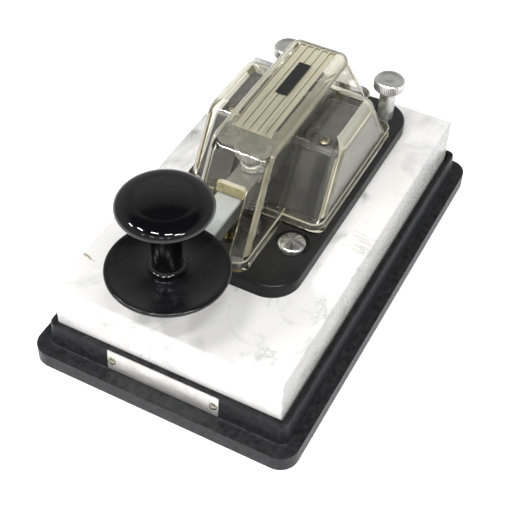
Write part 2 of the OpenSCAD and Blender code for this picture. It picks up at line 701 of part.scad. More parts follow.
// Points along the spring's wire: a straight foot, the turns and a straight head
curl_steps = 8;
spring_gap = 0.3;
turn_z0 = spring_z0 + spring_gap + wire_d;
turn_z1 = spring_z1 - spring_gap - wire_d;
function coil_point(t) = [spring_d / 2 * cos(360 * t), spring_d / 2 * sin(360 * t),
    turn_z0 + (turn_z1 - turn_z0) * t / spring_turns];
spring_points = concat([coil_point(0) - [0, 0, wire_d]],
    [for (i = [0:curl_steps * spring_turns]) coil_point(i / curl_steps)],
    [coil_point(spring_turns) + [0, 0, wire_d]]);
spring_self_gap = min([for (i = [0:len(spring_points) - 2], j = [i + 1:len(spring_points) - 1])
    if (j - i >= curl_steps / 2) norm(spring_points[i] - spring_points[j])]) - wire_d;
function tube_ring(points, i, r, sides) = let (
    ahead = points[min(i + 1, len(points) - 1)],
    behind = points[max(i - 1, 0)],
    along = unit(ahead - behind),
    out = unit([points[i][0], points[i][1], 0]),
    side = unit(cross(along, out)),
    lift = cross(side, along))
    [for (k = [0:sides - 1]) points[i] + r * (cos(360 * k / sides) * lift + sin(360 * k / sides) * side)];
module tube(points, d, sides) {
    n = len(points);
    polyhedron([for (i = [0:n - 1]) each tube_ring(points, i, d / 2, sides)], concat(
        [[for (k = [0:sides - 1]) k]],
        [for (i = [0:n - 2], k = [0:sides - 1]) let (a = i * sides, b = a + sides, m = (k + 1) % sides)
            each [[a + k, b + k, b + m], [a + k, b + m, a + m]]],
        [[for (k = [sides - 1:-1:0]) (n - 1) * sides + k]]));
}
module return_spring() color("#8d8f92") {
    echo(str("return_spring least self gap ", spring_self_gap, " mm"));
    translate([0, -spring_y, 0]) tube(spring_points, wire_d, 6);
}

// Adjusting screws with knurled heads, and their lock nuts
module adjuster(tip_z, head_z, head_d, head_h, tip_d) {
    post(tip_d, tip_z, tip_z + 2.5);
    post(screw_d, tip_z + 2.4, head_z + eps);
    translate([0, 0, head_z]) knurled(head_d, head_h, round(head_d * 3.4));
}
module spring_screw() color("#c4c6c8") translate([0, -spring_y, 0])
    adjuster(spring_z1 + 0.5, lever_top + spring_head_rise, spring_head_d, spring_head_h, 2.8);
module gap_screw() color("#c4c6c8") translate([0, gap_y, 0])
    adjuster(stop_top + stop_gap, lever_top + gap_head_rise, gap_head_d, gap_head_h, 3);
module lock_nut(y) color("#b9bbbd") translate([0, y, lever_top + 0.05]) difference() {
    knurled(lock_nut_d, lock_nut_h, 30);
    translate([0, 0, -1]) cylinder(d = screw_d + 2 * run_fit, h = lock_nut_h + 2);
}
module spring_lock_nut() lock_nut(-spring_y);
module gap_lock_nut() lock_nut(gap_y);

// The stop that the gap screw rests on
stop_foot_d = 9;
stop_foot_h = 2;
stop_d = 6;
stop_tip_h = 0.8;
module rear_stop() color("#c9a24a") translate([0, gap_y, 0]) {
    post(stop_foot_d, plate_z, plate_z + stop_foot_h);
    post(stop_d, plate_z + stop_foot_h - eps, stop_top - stop_tip_h);
    post(stop_d - 1, stop_top - stop_tip_h - eps, stop_top);
    post(3.9, marble_z + 1.4, plate_z + eps);
}

// Clear cover
cover_lift = 0.05;
strip_w = 4.8;
strip_l = 20.4;
strip_t = 0.35;
strip_behind = 38;
groove_end = 2.4;

// How far a wall has come in at a height above the plate, at a distance inside its outer face
function lean_in(run, rise, z, skin) = run * z / rise + skin * sqrt(1 + pow(run / rise, 2));

// Half width, front and back of the hump and the shoulders at a height, at a distance inside their faces
function hump_side(z, skin) = nose_half - lean_in(nose_half - hump_half, hump_h, z, skin);
function hump_nose(z, skin) = nose_front + lean_in(hump_bend_y - nose_front, hump_bend_z, z, skin);
function hump_brow(z, skin) = hump_bend_y + lean_in(hump_bend_run, hump_bend_drop, z - hump_bend_z, skin);
function hump_rear(z, skin) = hump_back - lean_in(hump_back_run, hump_h, z, skin);
function shoulder_side(z, skin) = shoulder_half - lean_in(shoulder_lean, shoulder_h, z, skin);
function shoulder_nose(z, skin) = shoulder_front + lean_in(shoulder_front_run, shoulder_h, z, skin);
function shoulder_rear(z, skin) = shoulder_back - lean_in(shoulder_back_run, shoulder_h, z, skin);

// What the cover's hulls stretch over: round upright corners at the foot, and balls
module foot_corner(x, y, z, r) translate([x, y, plate_z + z]) cylinder(r = r, h = eps, $fn = 32);
module ball(x, y, z, r) translate([x, y, plate_z + z]) sphere(r = r, $fn = 24);

// The narrow hump with its long front nose: skin is the distance inside the outer face
module hump(skin, z0) hull() {
    r_foot = hump_foot_r - skin;
    r = hump_edge_r - skin * 0.8;
    top = hump_h - skin - r;
    for (x = [-1, 1]) {
        foot_corner(x * (hump_side(z0, skin) - r_foot), hump_nose(z0, skin) + r_foot, z0, r_foot);
        foot_corner(x * (hump_side(z0, skin) - r_foot), hump_rear(z0, skin) - r_foot, z0, r_foot);
        ball(x * hump_side(hump_bend_z, skin + r), hump_brow(hump_bend_z, skin + r), hump_bend_z, r);
        ball(x * hump_side(top, skin + r), hump_brow(top, skin + r), top, r);
        ball(x * hump_side(top, skin + r), hump_rear(top, skin + r), top, r);
    }
}

// The two broad shoulders, as one leaning box across the key
module shoulders(skin, z0) hull() {
    r_foot = shoulder_foot_r - skin;
    r = shoulder_edge_r - skin * 0.9;
    top = shoulder_h - skin - r;
    for (x = [-1, 1]) {
        foot_corner(x * (shoulder_side(z0, skin) - r_foot), shoulder_nose(z0, skin) + r_foot, z0, r_foot);
        foot_corner(x * (shoulder_side(z0, skin) - r_foot), shoulder_rear(z0, skin) - r_foot, z0, r_foot);
        ball(x * shoulder_side(top, skin + r), shoulder_nose(top, skin + r), top, r);
        ball(x * shoulder_side(top, skin + r), shoulder_rear(top, skin + r), top, r);
    }
}
module cover_plan(out) {
    nose_l = hump_back - nose_front;
    shoulder_l = shoulder_back - shoulder_front;
    translate([0, (hump_back + nose_front) / 2])
        round_rect(2 * nose_half + 2 * out, nose_l + 2 * out, hump_foot_r + out);
    translate([0, (shoulder_back + shoulder_front) / 2])
        round_rect(2 * shoulder_half + 2 * out, shoulder_l + 2 * out, shoulder_foot_r + out);
}
module clear_cover() color([0.93, 0.91, 0.78, 0.45]) difference() {
    union() {
        hump(0, cover_lift);
        shoulders(0, cover_lift);
        translate([0, 0, plate_z + cover_lift]) linear_extrude(lip_h) cover_plan(lip_out);
    }
    hump(cover_t, -0.5);
    shoulders(cover_t, -0.5);
    translate([0, nose_front - 5 + slot_reach, 0]) rotate([90, 0, 0]) linear_extrude(slot_reach) {
        translate([-slot_w / 2, plate_z - 1]) square([slot_w, slot_top - slot_r - plate_z + 1]);
        translate([-slot_w / 2 + slot_r, plate_z]) square([slot_w - 2 * slot_r, slot_top - plate_z]);
        for (x = [-1, 1]) translate([x * (slot_w / 2 - slot_r), slot_top - slot_r]) circle(slot_r);
    }
    for (i = [0:groove_count - 1])
        translate([(i - (groove_count - 1) / 2) * groove_pitch - groove_w / 2, hump_top_front + groove_end,
            plate_z + hump_h - groove_d])
            cube([groove_w, hump_top_back - hump_top_front - 2 * groove_end, 5]);
}

// A plain black strip stuck along the middle of the hump's top
module label_strip() color("#141414") translate([0, hump_top_front + strip_behind, plate_z + hump_h + eps])
    linear_extrude(strip_t) round_rect(strip_w, strip_l, 0.3);

// Everything is built about the tray's middle, then moved so that the footprint is centred
module in_frame() translate([0, frame_y, 0]) children();

in_frame() base_tray();
in_frame() rubber_feet();
in_frame() foot_screws();
in_frame() marble_slab();
in_frame() nameplate();
in_frame() nameplate_rivets();
in_frame() mechanism_plate();
in_frame() front_dome_bolts();
in_frame() clamp_washers();
in_frame() clamp_nuts();
in_frame() left_terminal_post();
in_frame() right_terminal_post();
in_frame() left_terminal_nut();
in_frame() right_terminal_nut();
in_frame() contact_strap();
in_frame() frame_strap();
in_frame() left_bearing_block();
in_frame() right_bearing_block();
in_frame() block_screws();
in_frame() pivot_bushes();
in_frame() pivot_washers();
in_frame() pivot_shaft();
in_frame() lever_arm();
in_frame() knob_skirt();
in_frame() knob_button();
in_frame() knob_screw();
in_frame() upper_contact();
in_frame() lower_contact();
in_frame() lower_contact_nut();
in_frame() spring_seat();
in_frame() return_spring();
in_frame() spring_cap();
in_frame() spring_screw();
in_frame() spring_lock_nut();
in_frame() gap_screw();
in_frame() gap_lock_nut();
in_frame() rear_stop();
in_frame() clear_cover();
in_frame() label_strip();
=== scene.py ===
"""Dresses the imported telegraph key: finishes, clear cover, turned pieces, threads and studio."""

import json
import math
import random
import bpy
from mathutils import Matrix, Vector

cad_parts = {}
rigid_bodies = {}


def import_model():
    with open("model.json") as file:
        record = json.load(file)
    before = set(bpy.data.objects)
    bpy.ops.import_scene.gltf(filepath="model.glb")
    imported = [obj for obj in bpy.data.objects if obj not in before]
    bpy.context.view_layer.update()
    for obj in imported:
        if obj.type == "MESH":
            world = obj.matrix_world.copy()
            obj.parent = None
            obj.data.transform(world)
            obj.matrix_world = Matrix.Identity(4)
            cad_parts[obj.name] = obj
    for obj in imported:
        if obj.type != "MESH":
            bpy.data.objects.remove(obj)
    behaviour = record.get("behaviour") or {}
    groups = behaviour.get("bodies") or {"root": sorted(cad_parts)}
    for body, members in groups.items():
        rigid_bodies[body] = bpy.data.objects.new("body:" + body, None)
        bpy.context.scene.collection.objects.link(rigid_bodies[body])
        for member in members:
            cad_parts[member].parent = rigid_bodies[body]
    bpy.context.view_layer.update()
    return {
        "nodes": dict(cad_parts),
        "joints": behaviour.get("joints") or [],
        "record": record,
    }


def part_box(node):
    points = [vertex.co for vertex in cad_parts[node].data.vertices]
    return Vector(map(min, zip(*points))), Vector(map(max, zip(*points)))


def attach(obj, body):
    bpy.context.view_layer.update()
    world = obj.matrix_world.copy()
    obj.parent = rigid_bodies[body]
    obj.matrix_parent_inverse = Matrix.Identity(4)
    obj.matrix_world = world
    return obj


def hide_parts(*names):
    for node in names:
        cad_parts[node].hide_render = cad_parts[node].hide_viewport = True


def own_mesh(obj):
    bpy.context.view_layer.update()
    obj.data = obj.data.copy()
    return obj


bl_info = {
    "name": "Telegraph Key Dresser",
    "version": (1, 0, 0),
    "blender": (4, 5, 0),
    "location": "View3D > Sidebar > Key",
    "description": "Finishes and fine pieces for a straight telegraph key on a marble base",
    "category": "Object",
}

import bmesh
import bpy
from mathutils import Matrix, Vector

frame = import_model()
MM = 0.001
OWN = "key_"


# Sizes and colours that a user would change


def number(name, description, default, **kind):
    """A number, which may have a kind and a unit."""
    return bpy.props.FloatProperty(name=name, description=description, default=default, **kind)


def angle(name, description, degrees):
    """An angle given in degrees and kept in radians."""
    return number(name, description, math.radians(degrees), subtype="ANGLE", unit="ROTATION")


def colour(name, description, default):
    """A linear colour."""
    return bpy.props.FloatVectorProperty(
        name=name, description=description, default=default, subtype="COLOR", size=3, min=0, max=1
    )


class KeyStageSettings(bpy.types.PropertyGroup):
    """Camera and studio."""

    azimuth: angle("Azimuth", "Turn of the camera round the key", 26.28)
    elevation: angle("Elevation", "Height of the camera above the horizon", 46.47)
    roll: angle("Roll", "Tilt of the camera about its own axis", 1.89)
    distance: number("Distance", "From the target to the camera", 0.47113, subtype="DISTANCE", precision=5)
    target: bpy.props.FloatVectorProperty(
        name="Target", description="Point the camera looks at", default=(-0.00488, 0.00417, 0.001),
        subtype="XYZ", unit="LENGTH", size=3,
    )
    lens: number("Lens", "Focal length in millimetres", 79.42)
    floor_colour: colour("Floor", "Colour of the pale floor", (0.86, 0.86, 0.87))
    lamp_power: number("Lamp power", "Power of each lamp in the row", 3.1, subtype="POWER", unit="POWER")
    lamp_count: bpy.props.IntProperty(name="Lamps", description="Lamps in the row", default=6, min=1)
    room: number("Room", "Level of the room's light", 1.0)


class KeyCoverSettings(bpy.types.PropertyGroup):
    """The clear cover's colours."""

    tint: colour("Tint", "Colour that the plastic has aged to", (0.98, 0.972, 0.93))
    panel: colour("Panel", "Milky colour of the fluted panel", (0.45, 0.42, 0.31))
    # The colour of the bends' painted light where it is brightest
    cream: colour("Cream", "Colour of the bends where they are palest", (0.92, 0.90, 0.77))


class KeyFinishSettings(bpy.types.PropertyGroup):
    """Main colours of the key."""

    tray: colour("Tray", "Satin black moulding", (0.015, 0.015, 0.016))
    tray_dust: colour("Tray bloom", "Paler bloom on the moulding", (0.04, 0.04, 0.041))
    marble: colour("Marble", "Ground colour of the slab", (0.96, 0.955, 0.93))
    vein: colour("Vein", "Colour of the marble's veins", (0.36, 0.37, 0.365))
    knob: colour("Knob", "Polished black plastic", (0.0025, 0.0025, 0.003))
    block: colour("Blocks", "Smooth black moulding", (0.02, 0.021, 0.023))
    plating: colour("Plating", "Bright plated metal", (0.80, 0.80, 0.79))
    brass: colour("Brass", "Turned brass", (0.17, 0.145, 0.09))


def finish_settings():
    return bpy.context.scene.key_finish


def cover_settings():
    return bpy.context.scene.key_cover


# Node trees


class Graph:
    """A node tree in the making, of a material or of the world."""

    def __init__(self, tree):
        self.tree = tree

    def feed(self, socket, value):
        """Joins an output to a socket, or writes a value in it."""
        if isinstance(value, bpy.types.NodeSocket):
            self.tree.links.new(value, socket)
        elif value is not None:
            socket.default_value = (*value, 1.0) if socket.type == "RGBA" else value

    def made(self, kind, inputs, out=0, **settings):
        """The output of a new node."""
        node = self.tree.nodes.new(kind)
        for key, value in settings.items():
            setattr(node, key, value)
        for name, value in inputs.items():
            self.feed(node.inputs[name], value)
        return node.outputs[out]

    def place(self, stretch=(1, 1, 1), turn=(0, 0, 0)):
        """Object coordinates, stretched and turned."""
        spot = self.made("ShaderNodeTexCoord", {}, "Object")
        turned = [math.radians(t) for t in turn]
        return self.made("ShaderNodeMapping", {"Vector": spot, "Scale": stretch, "Rotation": turned})

    def part(self, vector, axis):
        """One coordinate of a vector."""
        return self.made("ShaderNodeSeparateXYZ", {0: vector}, axis)

    def cloud(self, scale, detail=3, stretch=(1, 1, 1), turn=(0, 0, 0), distortion=0.0, rough=0.55):
        """Noise whose features are about one over scale metres wide."""
        return self.made("ShaderNodeTexNoise", {
            "Vector": self.place(stretch, turn), "Scale": scale, "Detail": detail,
            "Roughness": rough, "Distortion": distortion,
        })

    def ramp(self, factor, stops):
        """Colours by factor: stops are (place, colour)."""
        node = self.tree.nodes.new("ShaderNodeValToRGB")
        elements = node.color_ramp.elements
        while len(elements) < len(stops):
            elements.new(0.5)
        for element, (at, value) in zip(elements, stops):
            element.position = at
            element.color = (*value, 1.0)
        self.feed(node.inputs["Fac"], factor)
        return node.outputs["Color"]

    def tones(self, factor, first, second, start=0.3, end=0.7):
        """One colour below a factor and another above it."""
        return self.ramp(factor, [(start, first), (end, second)])

    def span(self, factor, low, high, start=0.3, end=0.7):
        """Factor from start to end, brought to low to high."""
        return self.made("ShaderNodeMapRange", {
            "Value": factor, "From Min": start, "From Max": end, "To Min": low, "To Max": high,
        }, "Result")

    def maths(self, operation, first, second=None, clamp=False):
        """One Math node; second may be a number or an output."""
        return self.made("ShaderNodeMath", {0: first, 1: second}, operation=operation, use_clamp=clamp)

    def times(self, first, second):
        """The product of two factors."""
        return self.maths("MULTIPLY", first, second)

    def mix(self, factor, first, second):
        """Two colours mixed by a factor; each is an output or a colour."""
        return self.made("ShaderNodeMix", {"Factor": factor, 6: first, 7: second}, 2, data_type="RGBA")

    def facing(self, start=0.6, end=0.95, axis="Z"):
        """One where the surface faces up, or along another axis, and nought elsewhere."""
        return self.span(self.part(self.made("ShaderNodeNewGeometry", {}, "Normal"), axis), 0, 1, start, end)

    def dust(self, cloud, start, end, *slope):
        """Where a cloud is thick and the surface faces up."""
        return self.times(self.span(cloud, 0, 1, start, end), self.facing(*slope))

    def bump(self, height, distance, strength=1.0, below=None):
        """Height in factor units to a bump of that distance, on top of another bump."""
        return self.made("ShaderNodeBump", {
            "Height": height, "Distance": distance, "Strength": strength, "Normal": below,
        })

    def rays(self, *kinds):
        """One for rays of any of the kinds."""
        path = self.tree.nodes.new("ShaderNodeLightPath")
        found = path.outputs[f"Is {kinds[0]} Ray"]
        for kind in kinds[1:]:
            found = self.maths("MAXIMUM", found, path.outputs[f"Is {kind} Ray"])
        return found

    def either(self, factor, first, second):
        """Two shaders mixed by a factor."""
        return self.made("ShaderNodeMixShader", {0: factor, 1: first, 2: second})


class Finish(Graph):
    """A material in the making. Underscores stand for the spaces in its shader's sockets."""

    def __init__(self, name, **values):
        self.material = bpy.data.materials.new(OWN + name)
        self.material.use_nodes = True
        super().__init__(self.material.node_tree)
        self.shader = self.tree.nodes["Principled BSDF"]
        self.set(**values)

    def set(self, **values):
        for name, value in values.items():
            self.feed(self.shader.inputs[name.replace("_", " ")], value)
        return self.material

    def end(self, output, socket="Surface"):
        """Joins an output to the material's end."""
        self.feed(self.tree.nodes["Material Output"].inputs[socket], output)
        return self.material


def own_material(name):
    """A material that this script has made; the frame's own plain ones have the bare names."""
    return bpy.data.materials[OWN + name]


def shade(base, factor):
    """A colour made darker or lighter."""
    return [min(1, c * factor) for c in base]


# Finishes


def tray_plastic():
    """Satin black moulding with a grain and a pale bloom where it faces up."""
    f = Finish("tray_plastic", Specular_IOR_Level=0.16)
    tray = finish_settings().tray
    bloom = f.cloud(420, 6, rough=0.75)
    grain = f.cloud(1500, 4, rough=0.7)
    scuffs = f.cloud(260, 8, stretch=(1, 0.35, 1), rough=0.75)
    dust = f.dust(scuffs, 0.5, 0.78, 0.3, 0.9)
    base = f.tones(bloom, shade(tray, 0.6), shade(tray, 2.6), 0.35, 0.7)
    return f.set(
        Base_Color=f.mix(dust, base, finish_settings().tray_dust),
        Roughness=f.span(grain, 0.28, 0.46),
        Normal=f.bump(grain, 0.00008, 0.6, f.bump(bloom, 0.0003, 0.4)),
    )


def plate_plastic():
    """Satin black moulding of the mechanism plate, with fine grain and dust, dull on its walls."""
    f = Finish("plate_plastic")
    dust = f.dust(f.cloud(700, 8, rough=0.8), 0.58, 0.8)
    broad = f.cloud(60, 4)
    base = f.tones(broad, (0.010, 0.010, 0.011), (0.022, 0.022, 0.023), 0.3, 0.75)
    return f.set(
        Base_Color=f.mix(dust, base, (0.12, 0.12, 0.11)),
        Specular_IOR_Level=f.span(f.facing(), 0.12, 0.45, 0, 1),
        Roughness=f.span(broad, 0.24, 0.38),
        Normal=f.bump(f.cloud(1900, 3, rough=0.7), 0.00005, 0.5),
    )


def foot_rubber():
    """Matt rubber with a fine powdery grain."""
    f = Finish("foot_rubber", Specular_IOR_Level=0.3)
    grain = f.cloud(1200, 4)
    return f.set(
        Base_Color=f.tones(grain, (0.02, 0.02, 0.021), (0.04, 0.04, 0.041)),
        Roughness=f.span(grain, 0.7, 0.9),
        Normal=f.bump(grain, 0.0001, 0.6),
    )


def marble():
    """White marble with soft grey clouds, thin veins, faint olive stains and a right-hand side darkened as
    painted shade.
    """
    f = Finish("marble", IOR=1.49)
    f.set(Subsurface_Weight=0.06, Subsurface_Radius=(1, 0.95, 0.8), Subsurface_Scale=3 * MM)
    clouds = f.cloud(48, 9, stretch=(1, 0.75, 1.2), turn=(8, 12, 35), distortion=0.9, rough=0.62)
    broad = f.cloud(17, 5, turn=(0, 20, -30), distortion=0.6)
    ridges = f.cloud(26, 10, stretch=(1, 0.6, 1), turn=(20, 0, 50), distortion=1.6, rough=0.66)
    ridge = f.maths("ABSOLUTE", f.maths("SUBTRACT", ridges, 0.5))
    vein = f.times(f.span(ridge, 1, 0, 0.0, 0.022), f.span(broad, 0, 1, 0.5, 0.66))
    grey = f.times(f.span(clouds, 0, 1, 0.50, 0.68), f.span(broad, 0.2, 1, 0.40, 0.58))
    veins = f.maths("ADD", f.times(grey, 0.9), f.times(vein, 0.75), clamp=True)
    stain = f.span(f.cloud(30, 6, turn=(0, 0, 70)), 0, 0.3, 0.55, 0.75)
    ground = f.mix(stain, finish_settings().marble, (0.80, 0.79, 0.70))
    crystals = f.cloud(1400, 2)
    speck = f.mix(f.span(crystals, 0, 0.10, 0.45, 0.7), ground, (0.72, 0.73, 0.74))
    veined = f.mix(veins, speck, finish_settings().vein)
    # Painted shade: faces turned to the right are darkened towards grey
    painted_shade_right = f.times(f.facing(0.5, 0.9, "X"), 0.5)
    tone = f.mix(painted_shade_right, veined, (0.34, 0.34, 0.34))
    return f.set(
        Base_Color=f.mix(brown_streak(f), tone, (0.34, 0.26, 0.13)),
        Roughness=f.span(crystals, 0.2, 0.34),
        Normal=f.bump(crystals, 0.00004, 0.35),
    )


def brown_streak(f):
    """A short brown vein on the slab's top at the left, as a factor."""
    inside = f.made("ShaderNodeMapping", {
        "Vector": f.made("ShaderNodeTexCoord", {}, "Object"),
        "Location": (-0.0438, -0.0574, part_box("marble_slab")[1].z),
        "Rotation": (0, 0, math.radians(-16)),
        "Scale": (0.0034, 0.0007, 0.004),
    }, vector_type="TEXTURE")
    reach = f.made("ShaderNodeVectorMath", {0: inside}, "Value", operation="LENGTH")
    ragged = f.maths("ADD", reach, f.span(f.cloud(900, 4), -0.5, 0.5))
    return f.span(ragged, 0.85, 0, 0.3, 1.1)


def metal(name, base, rough, brushed=(1, 1, 1), shine=1.0):
    """A plated or turned metal: fine brushing, uneven polish and a slight change of tone."""
    f = Finish(name, Metallic=shine)
    smear = f.cloud(180, 5)
    return f.set(
        Base_Color=f.tones(smear, shade(base, 0.82), base, 0.3, 0.62),
        Roughness=f.span(smear, rough * 1.35, rough * 0.8),
        Normal=f.bump(f.cloud(1500, 4, stretch=brushed), 0.00002, 0.6),
    )


def lever_metal():
    """Satin plating of the lever, pale on top in front of the cover, with painted shade: dark on its sides
    and where the cover is over it.
    """
    f = Finish("lever_metal", Metallic=0.45)
    brushing = f.cloud(1500, 4, stretch=(1, 0.05, 1))
    worn = f.tones(f.cloud(180, 5), (0.62, 0.635, 0.61), (0.72, 0.735, 0.71), 0.3, 0.62)
    front = CoverPlan().front_face(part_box("lever_arm")[1].z)
    # Painted shade: the lever's top turns dark grey from where it goes under the cover's front slope
    painted_cover_shade = f.span(f.part(f.place(), "Y"), 0, 1, front, front + 1.5 * MM)
    top = f.mix(painted_cover_shade, worn, (0.16, 0.165, 0.16))
    # Painted shade: faces that do not look up get a dark grey, and only the tops keep the plating's tone
    return f.set(
        Base_Color=f.mix(f.facing(0.5, 0.9), (0.10, 0.105, 0.10), top),
        Roughness=f.span(brushing, 0.26, 0.44),
        Normal=f.bump(brushing, 0.00002, 0.6),
    )


def spun_metal():
    """Bright metal turned on a lathe, with a painted sheen: rays of lighter and darker colour about the
    piece's own upright axis.
    """
    f = Finish("spun_metal", Metallic=0.9, Roughness=0.2, Anisotropic=0.6)
    around = f.made("ShaderNodeTexGradient", {"Vector": f.place()}, "Fac", gradient_type="RADIAL")
    rays = f.made("ShaderNodeTexNoise", {"W": around, "Scale": 11, "Detail": 2}, noise_dimensions="1D")
    # Painted highlight: the colour runs from dark to bright grey in rays round the axis
    painted_sheen_greys = [(0.36, (0.30, 0.30, 0.29)), (0.5, (0.66, 0.66, 0.64)), (0.62, (0.97, 0.97, 0.96))]
    return f.set(
        Base_Color=f.ramp(rays, painted_sheen_greys),
        Tangent=f.made("ShaderNodeTangent", {}, direction_type="RADIAL", axis="Z"),
        Normal=f.bump(rays, 0.0006, 0.5),
    )


def nameplate_metal():
    """Pale satin metal of the bare plate, brushed along its length."""
    f = Finish("nameplate_metal", Metallic=0.85)
    brushing = f.cloud(900, 3, stretch=(0.05, 1, 1))
    return f.set(
        Base_Color=f.tones(f.cloud(220, 6, rough=0.7), (0.72, 0.71, 0.66), (0.90, 0.895, 0.86), 0.3, 0.6),
        Roughness=f.span(brushing, 0.32, 0.46),
        Normal=f.bump(brushing, 0.00002, 0.5),
    )


def knob_gloss():
    """Polished black plastic with a few dust specks."""
    f = Finish("knob_gloss", IOR=1.5)
    specks = f.dust(f.cloud(2600, 2), 0.74, 0.8, 0.2, 0.8)
    return f.set(
        Base_Color=f.mix(specks, finish_settings().knob, (0.22, 0.22, 0.21)),
        Roughness=f.span(f.cloud(120, 6, rough=0.7), 0.03, 0.09, 0.4, 0.75),
        Normal=f.bump(f.cloud(150, 2), 0.0001, 0.08),
    )


def skirt_gloss():
    """The skirt's plastic, dulled on its face by an uneven film and dust specks."""
    f = Finish("skirt_gloss", IOR=1.5)
    specks = f.dust(f.cloud(2300, 3, rough=0.7), 0.66, 0.76, 0.5, 0.9)
    film = f.dust(f.cloud(160, 8, rough=0.75), 0.35, 0.75)
    dusty = f.mix(film, finish_settings().knob, (0.009, 0.009, 0.010))
    return f.set(
        Base_Color=f.mix(specks, dusty, (0.16, 0.16, 0.155)),
        Roughness=f.maths("ADD", f.times(film, 0.22), 0.14),
        Normal=f.bump(f.cloud(1700, 2), 0.00003, 0.3),
    )


def block_plastic():
    """Smooth black moulding of the bearing blocks."""
    f = Finish("block_plastic", IOR=1.5, Specular_IOR_Level=0.7)
    smears = f.cloud(130, 5, rough=0.7)
    block = finish_settings().block
    return f.set(
        Base_Color=f.tones(smears, block, shade(block, 1.7), 0.3, 0.75),
        Roughness=f.span(smears, 0.12, 0.28),
        Normal=f.bump(f.cloud(900, 3), 0.00003, 0.25),
    )


def label_black():
    """Glossy black strip with a fine pebble grain."""
    f = Finish("label_black", IOR=1.5)
    grain = f.cloud(1600, 2)
    return f.set(
        Base_Color=f.tones(grain, (0.008, 0.008, 0.008), (0.02, 0.02, 0.02), 0.4, 0.8),
        Roughness=f.span(grain, 0.18, 0.3),
        Normal=f.bump(grain, 0.00005, 0.4),
    )


def let_light_through(f):
    """Shadow rays pass the plastic, so that lamps light what is under it."""
    clear = f.made("ShaderNodeBsdfTransparent", {"Color": shade(cover_settings().tint, 0.93)})
    return f.end(f.either(f.rays("Shadow"), f.shader.outputs[0], clear))


def clear_plastic():
    """Clear plastic, aged yellow: faint scratches, and a body colour that deepens along the edges."""
    f = Finish("clear_plastic", Base_Color=(1, 0.995, 0.97), Transmission_Weight=1.0, IOR=1.49)
    haze = f.cloud(260, 6, rough=0.7)
    f.set(Roughness=f.span(haze, 0.0, 0.05, 0.45, 0.8), Normal=f.bump(f.cloud(420, 3), 0.00003, 0.25))
    f.end(f.made("ShaderNodeVolumeAbsorption", {"Color": (0.90, 0.84, 0.56), "Density": 75}), "Volume")
    return let_light_through(f)


def edge_plastic(name, front_tone):
    """The same plastic at its bends, which pipe light; their creamy colour is painted light, palest on faces
    that look up and most so at the rear and the left.
    """
    f = Finish(name, IOR=1.49, Transmission_Weight=0.6)
    cream = cover_settings().cream
    streaks = f.cloud(700, 2, stretch=(1, 0.06, 0.2))
    tone = f.tones(streaks, (0.36, 0.33, 0.19), (0.58, 0.54, 0.37), 0.35, 0.6)
    # Painted light: the bends grow paler towards the left and towards the rear
    painted_light_left = f.span(f.part(f.place(), "X"), 0, 1, -9 * MM, -12 * MM)
    rear = f.span(f.part(f.place(), "Y"), 0, 1, 10 * MM, 50 * MM)
    top = f.mix(f.maths("MAXIMUM", painted_light_left, rear), front_tone, cream)
    side = f.mix(painted_light_left, tone, (0.90, 0.88, 0.75))
    # Painted light: faces that look up take the pale top colour, the others the darker side tone
    f.set(Base_Color=f.mix(f.facing(0.2, 0.9), side, top), Roughness=f.span(streaks, 0.02, 0.08))
    return let_light_through(f)


def hazy_plastic():
    """The same plastic where handling has dulled it, at the front of the hump; its olive-grey colour is
    partly painted reflection.
    """
    f = Finish("hazy_plastic", IOR=1.49, Transmission_Weight=0.62)
    smears = f.cloud(300, 6, rough=0.7)
    tone = f.tones(smears, (0.34, 0.33, 0.26), (0.46, 0.45, 0.37))
    f.set(Base_Color=tone, Roughness=f.span(smears, 0.06, 0.16))
    return let_light_through(f)


def milky_panel():
    """The fluted panel on the hump: satin, nearly opaque, beige, and paler to the rear."""
    f = Finish("milky_panel", IOR=1.49, Transmission_Weight=0.12)
    lines = f.cloud(700, 3, stretch=(1, 0.06, 1))
    panel = cover_settings().panel
    rear = f.span(f.part(f.place(), "Y"), 0, 1, -10 * MM, 45 * MM)
    return f.set(
        Base_Color=f.mix(rear, f.tones(lines, shade(panel, 0.78), shade(panel, 1.02)), shade(panel, 1.35)),
        Roughness=f.span(lines, 0.22, 0.4),
    )


def panel_wall():
    """The sides of the panel's grooves, dark with painted shade."""
    f = Finish("panel_wall", IOR=1.49)
    return f.set(
        Base_Color=f.tones(f.cloud(600, 3), (0.06, 0.055, 0.035), (0.13, 0.12, 0.08)),
        Roughness=f.span(f.cloud(900, 2), 0.3, 0.5),
    )


def aged_strip():
    """Thick plastic gone yellow, seen edge on."""
    f = Finish("aged_strip", IOR=1.49, Transmission_Weight=0.25, Subsurface_Weight=0.1)
    clouds = f.cloud(500, 4)
    return f.set(
        Base_Color=f.tones(clouds, (0.27, 0.235, 0.115), (0.38, 0.34, 0.20)),
        Roughness=f.span(clouds, 0.25, 0.4),
    )


# Meshes


def put(name, data):
    """A new object in the scene."""
    made = bpy.data.objects.new(name, data)
    bpy.context.scene.collection.objects.link(made)
    return made


def poured(made, mesh):
    """Writes a bmesh to a mesh and lets the bmesh go."""
    made.to_mesh(mesh)
    made.free()
    return mesh


def applied(target):
    """The mesh that an object has with its modifiers."""
    bpy.context.view_layer.update()
    return bpy.data.meshes.new_from_object(target.evaluated_get(bpy.context.evaluated_depsgraph_get()))


def mesh_object(name, form, material, body, origin=(0, 0, 0), sharp=35):
    """A piece from its (verts, faces), which are in the row frame. Its origin is where given."""
    verts, faces = form
    mesh = bpy.data.meshes.new(name)
    mesh.from_pydata([Vector(v) - Vector(origin) for v in verts], [], faces)
    return mesh_piece(name, mesh, material, body, origin, sharp)


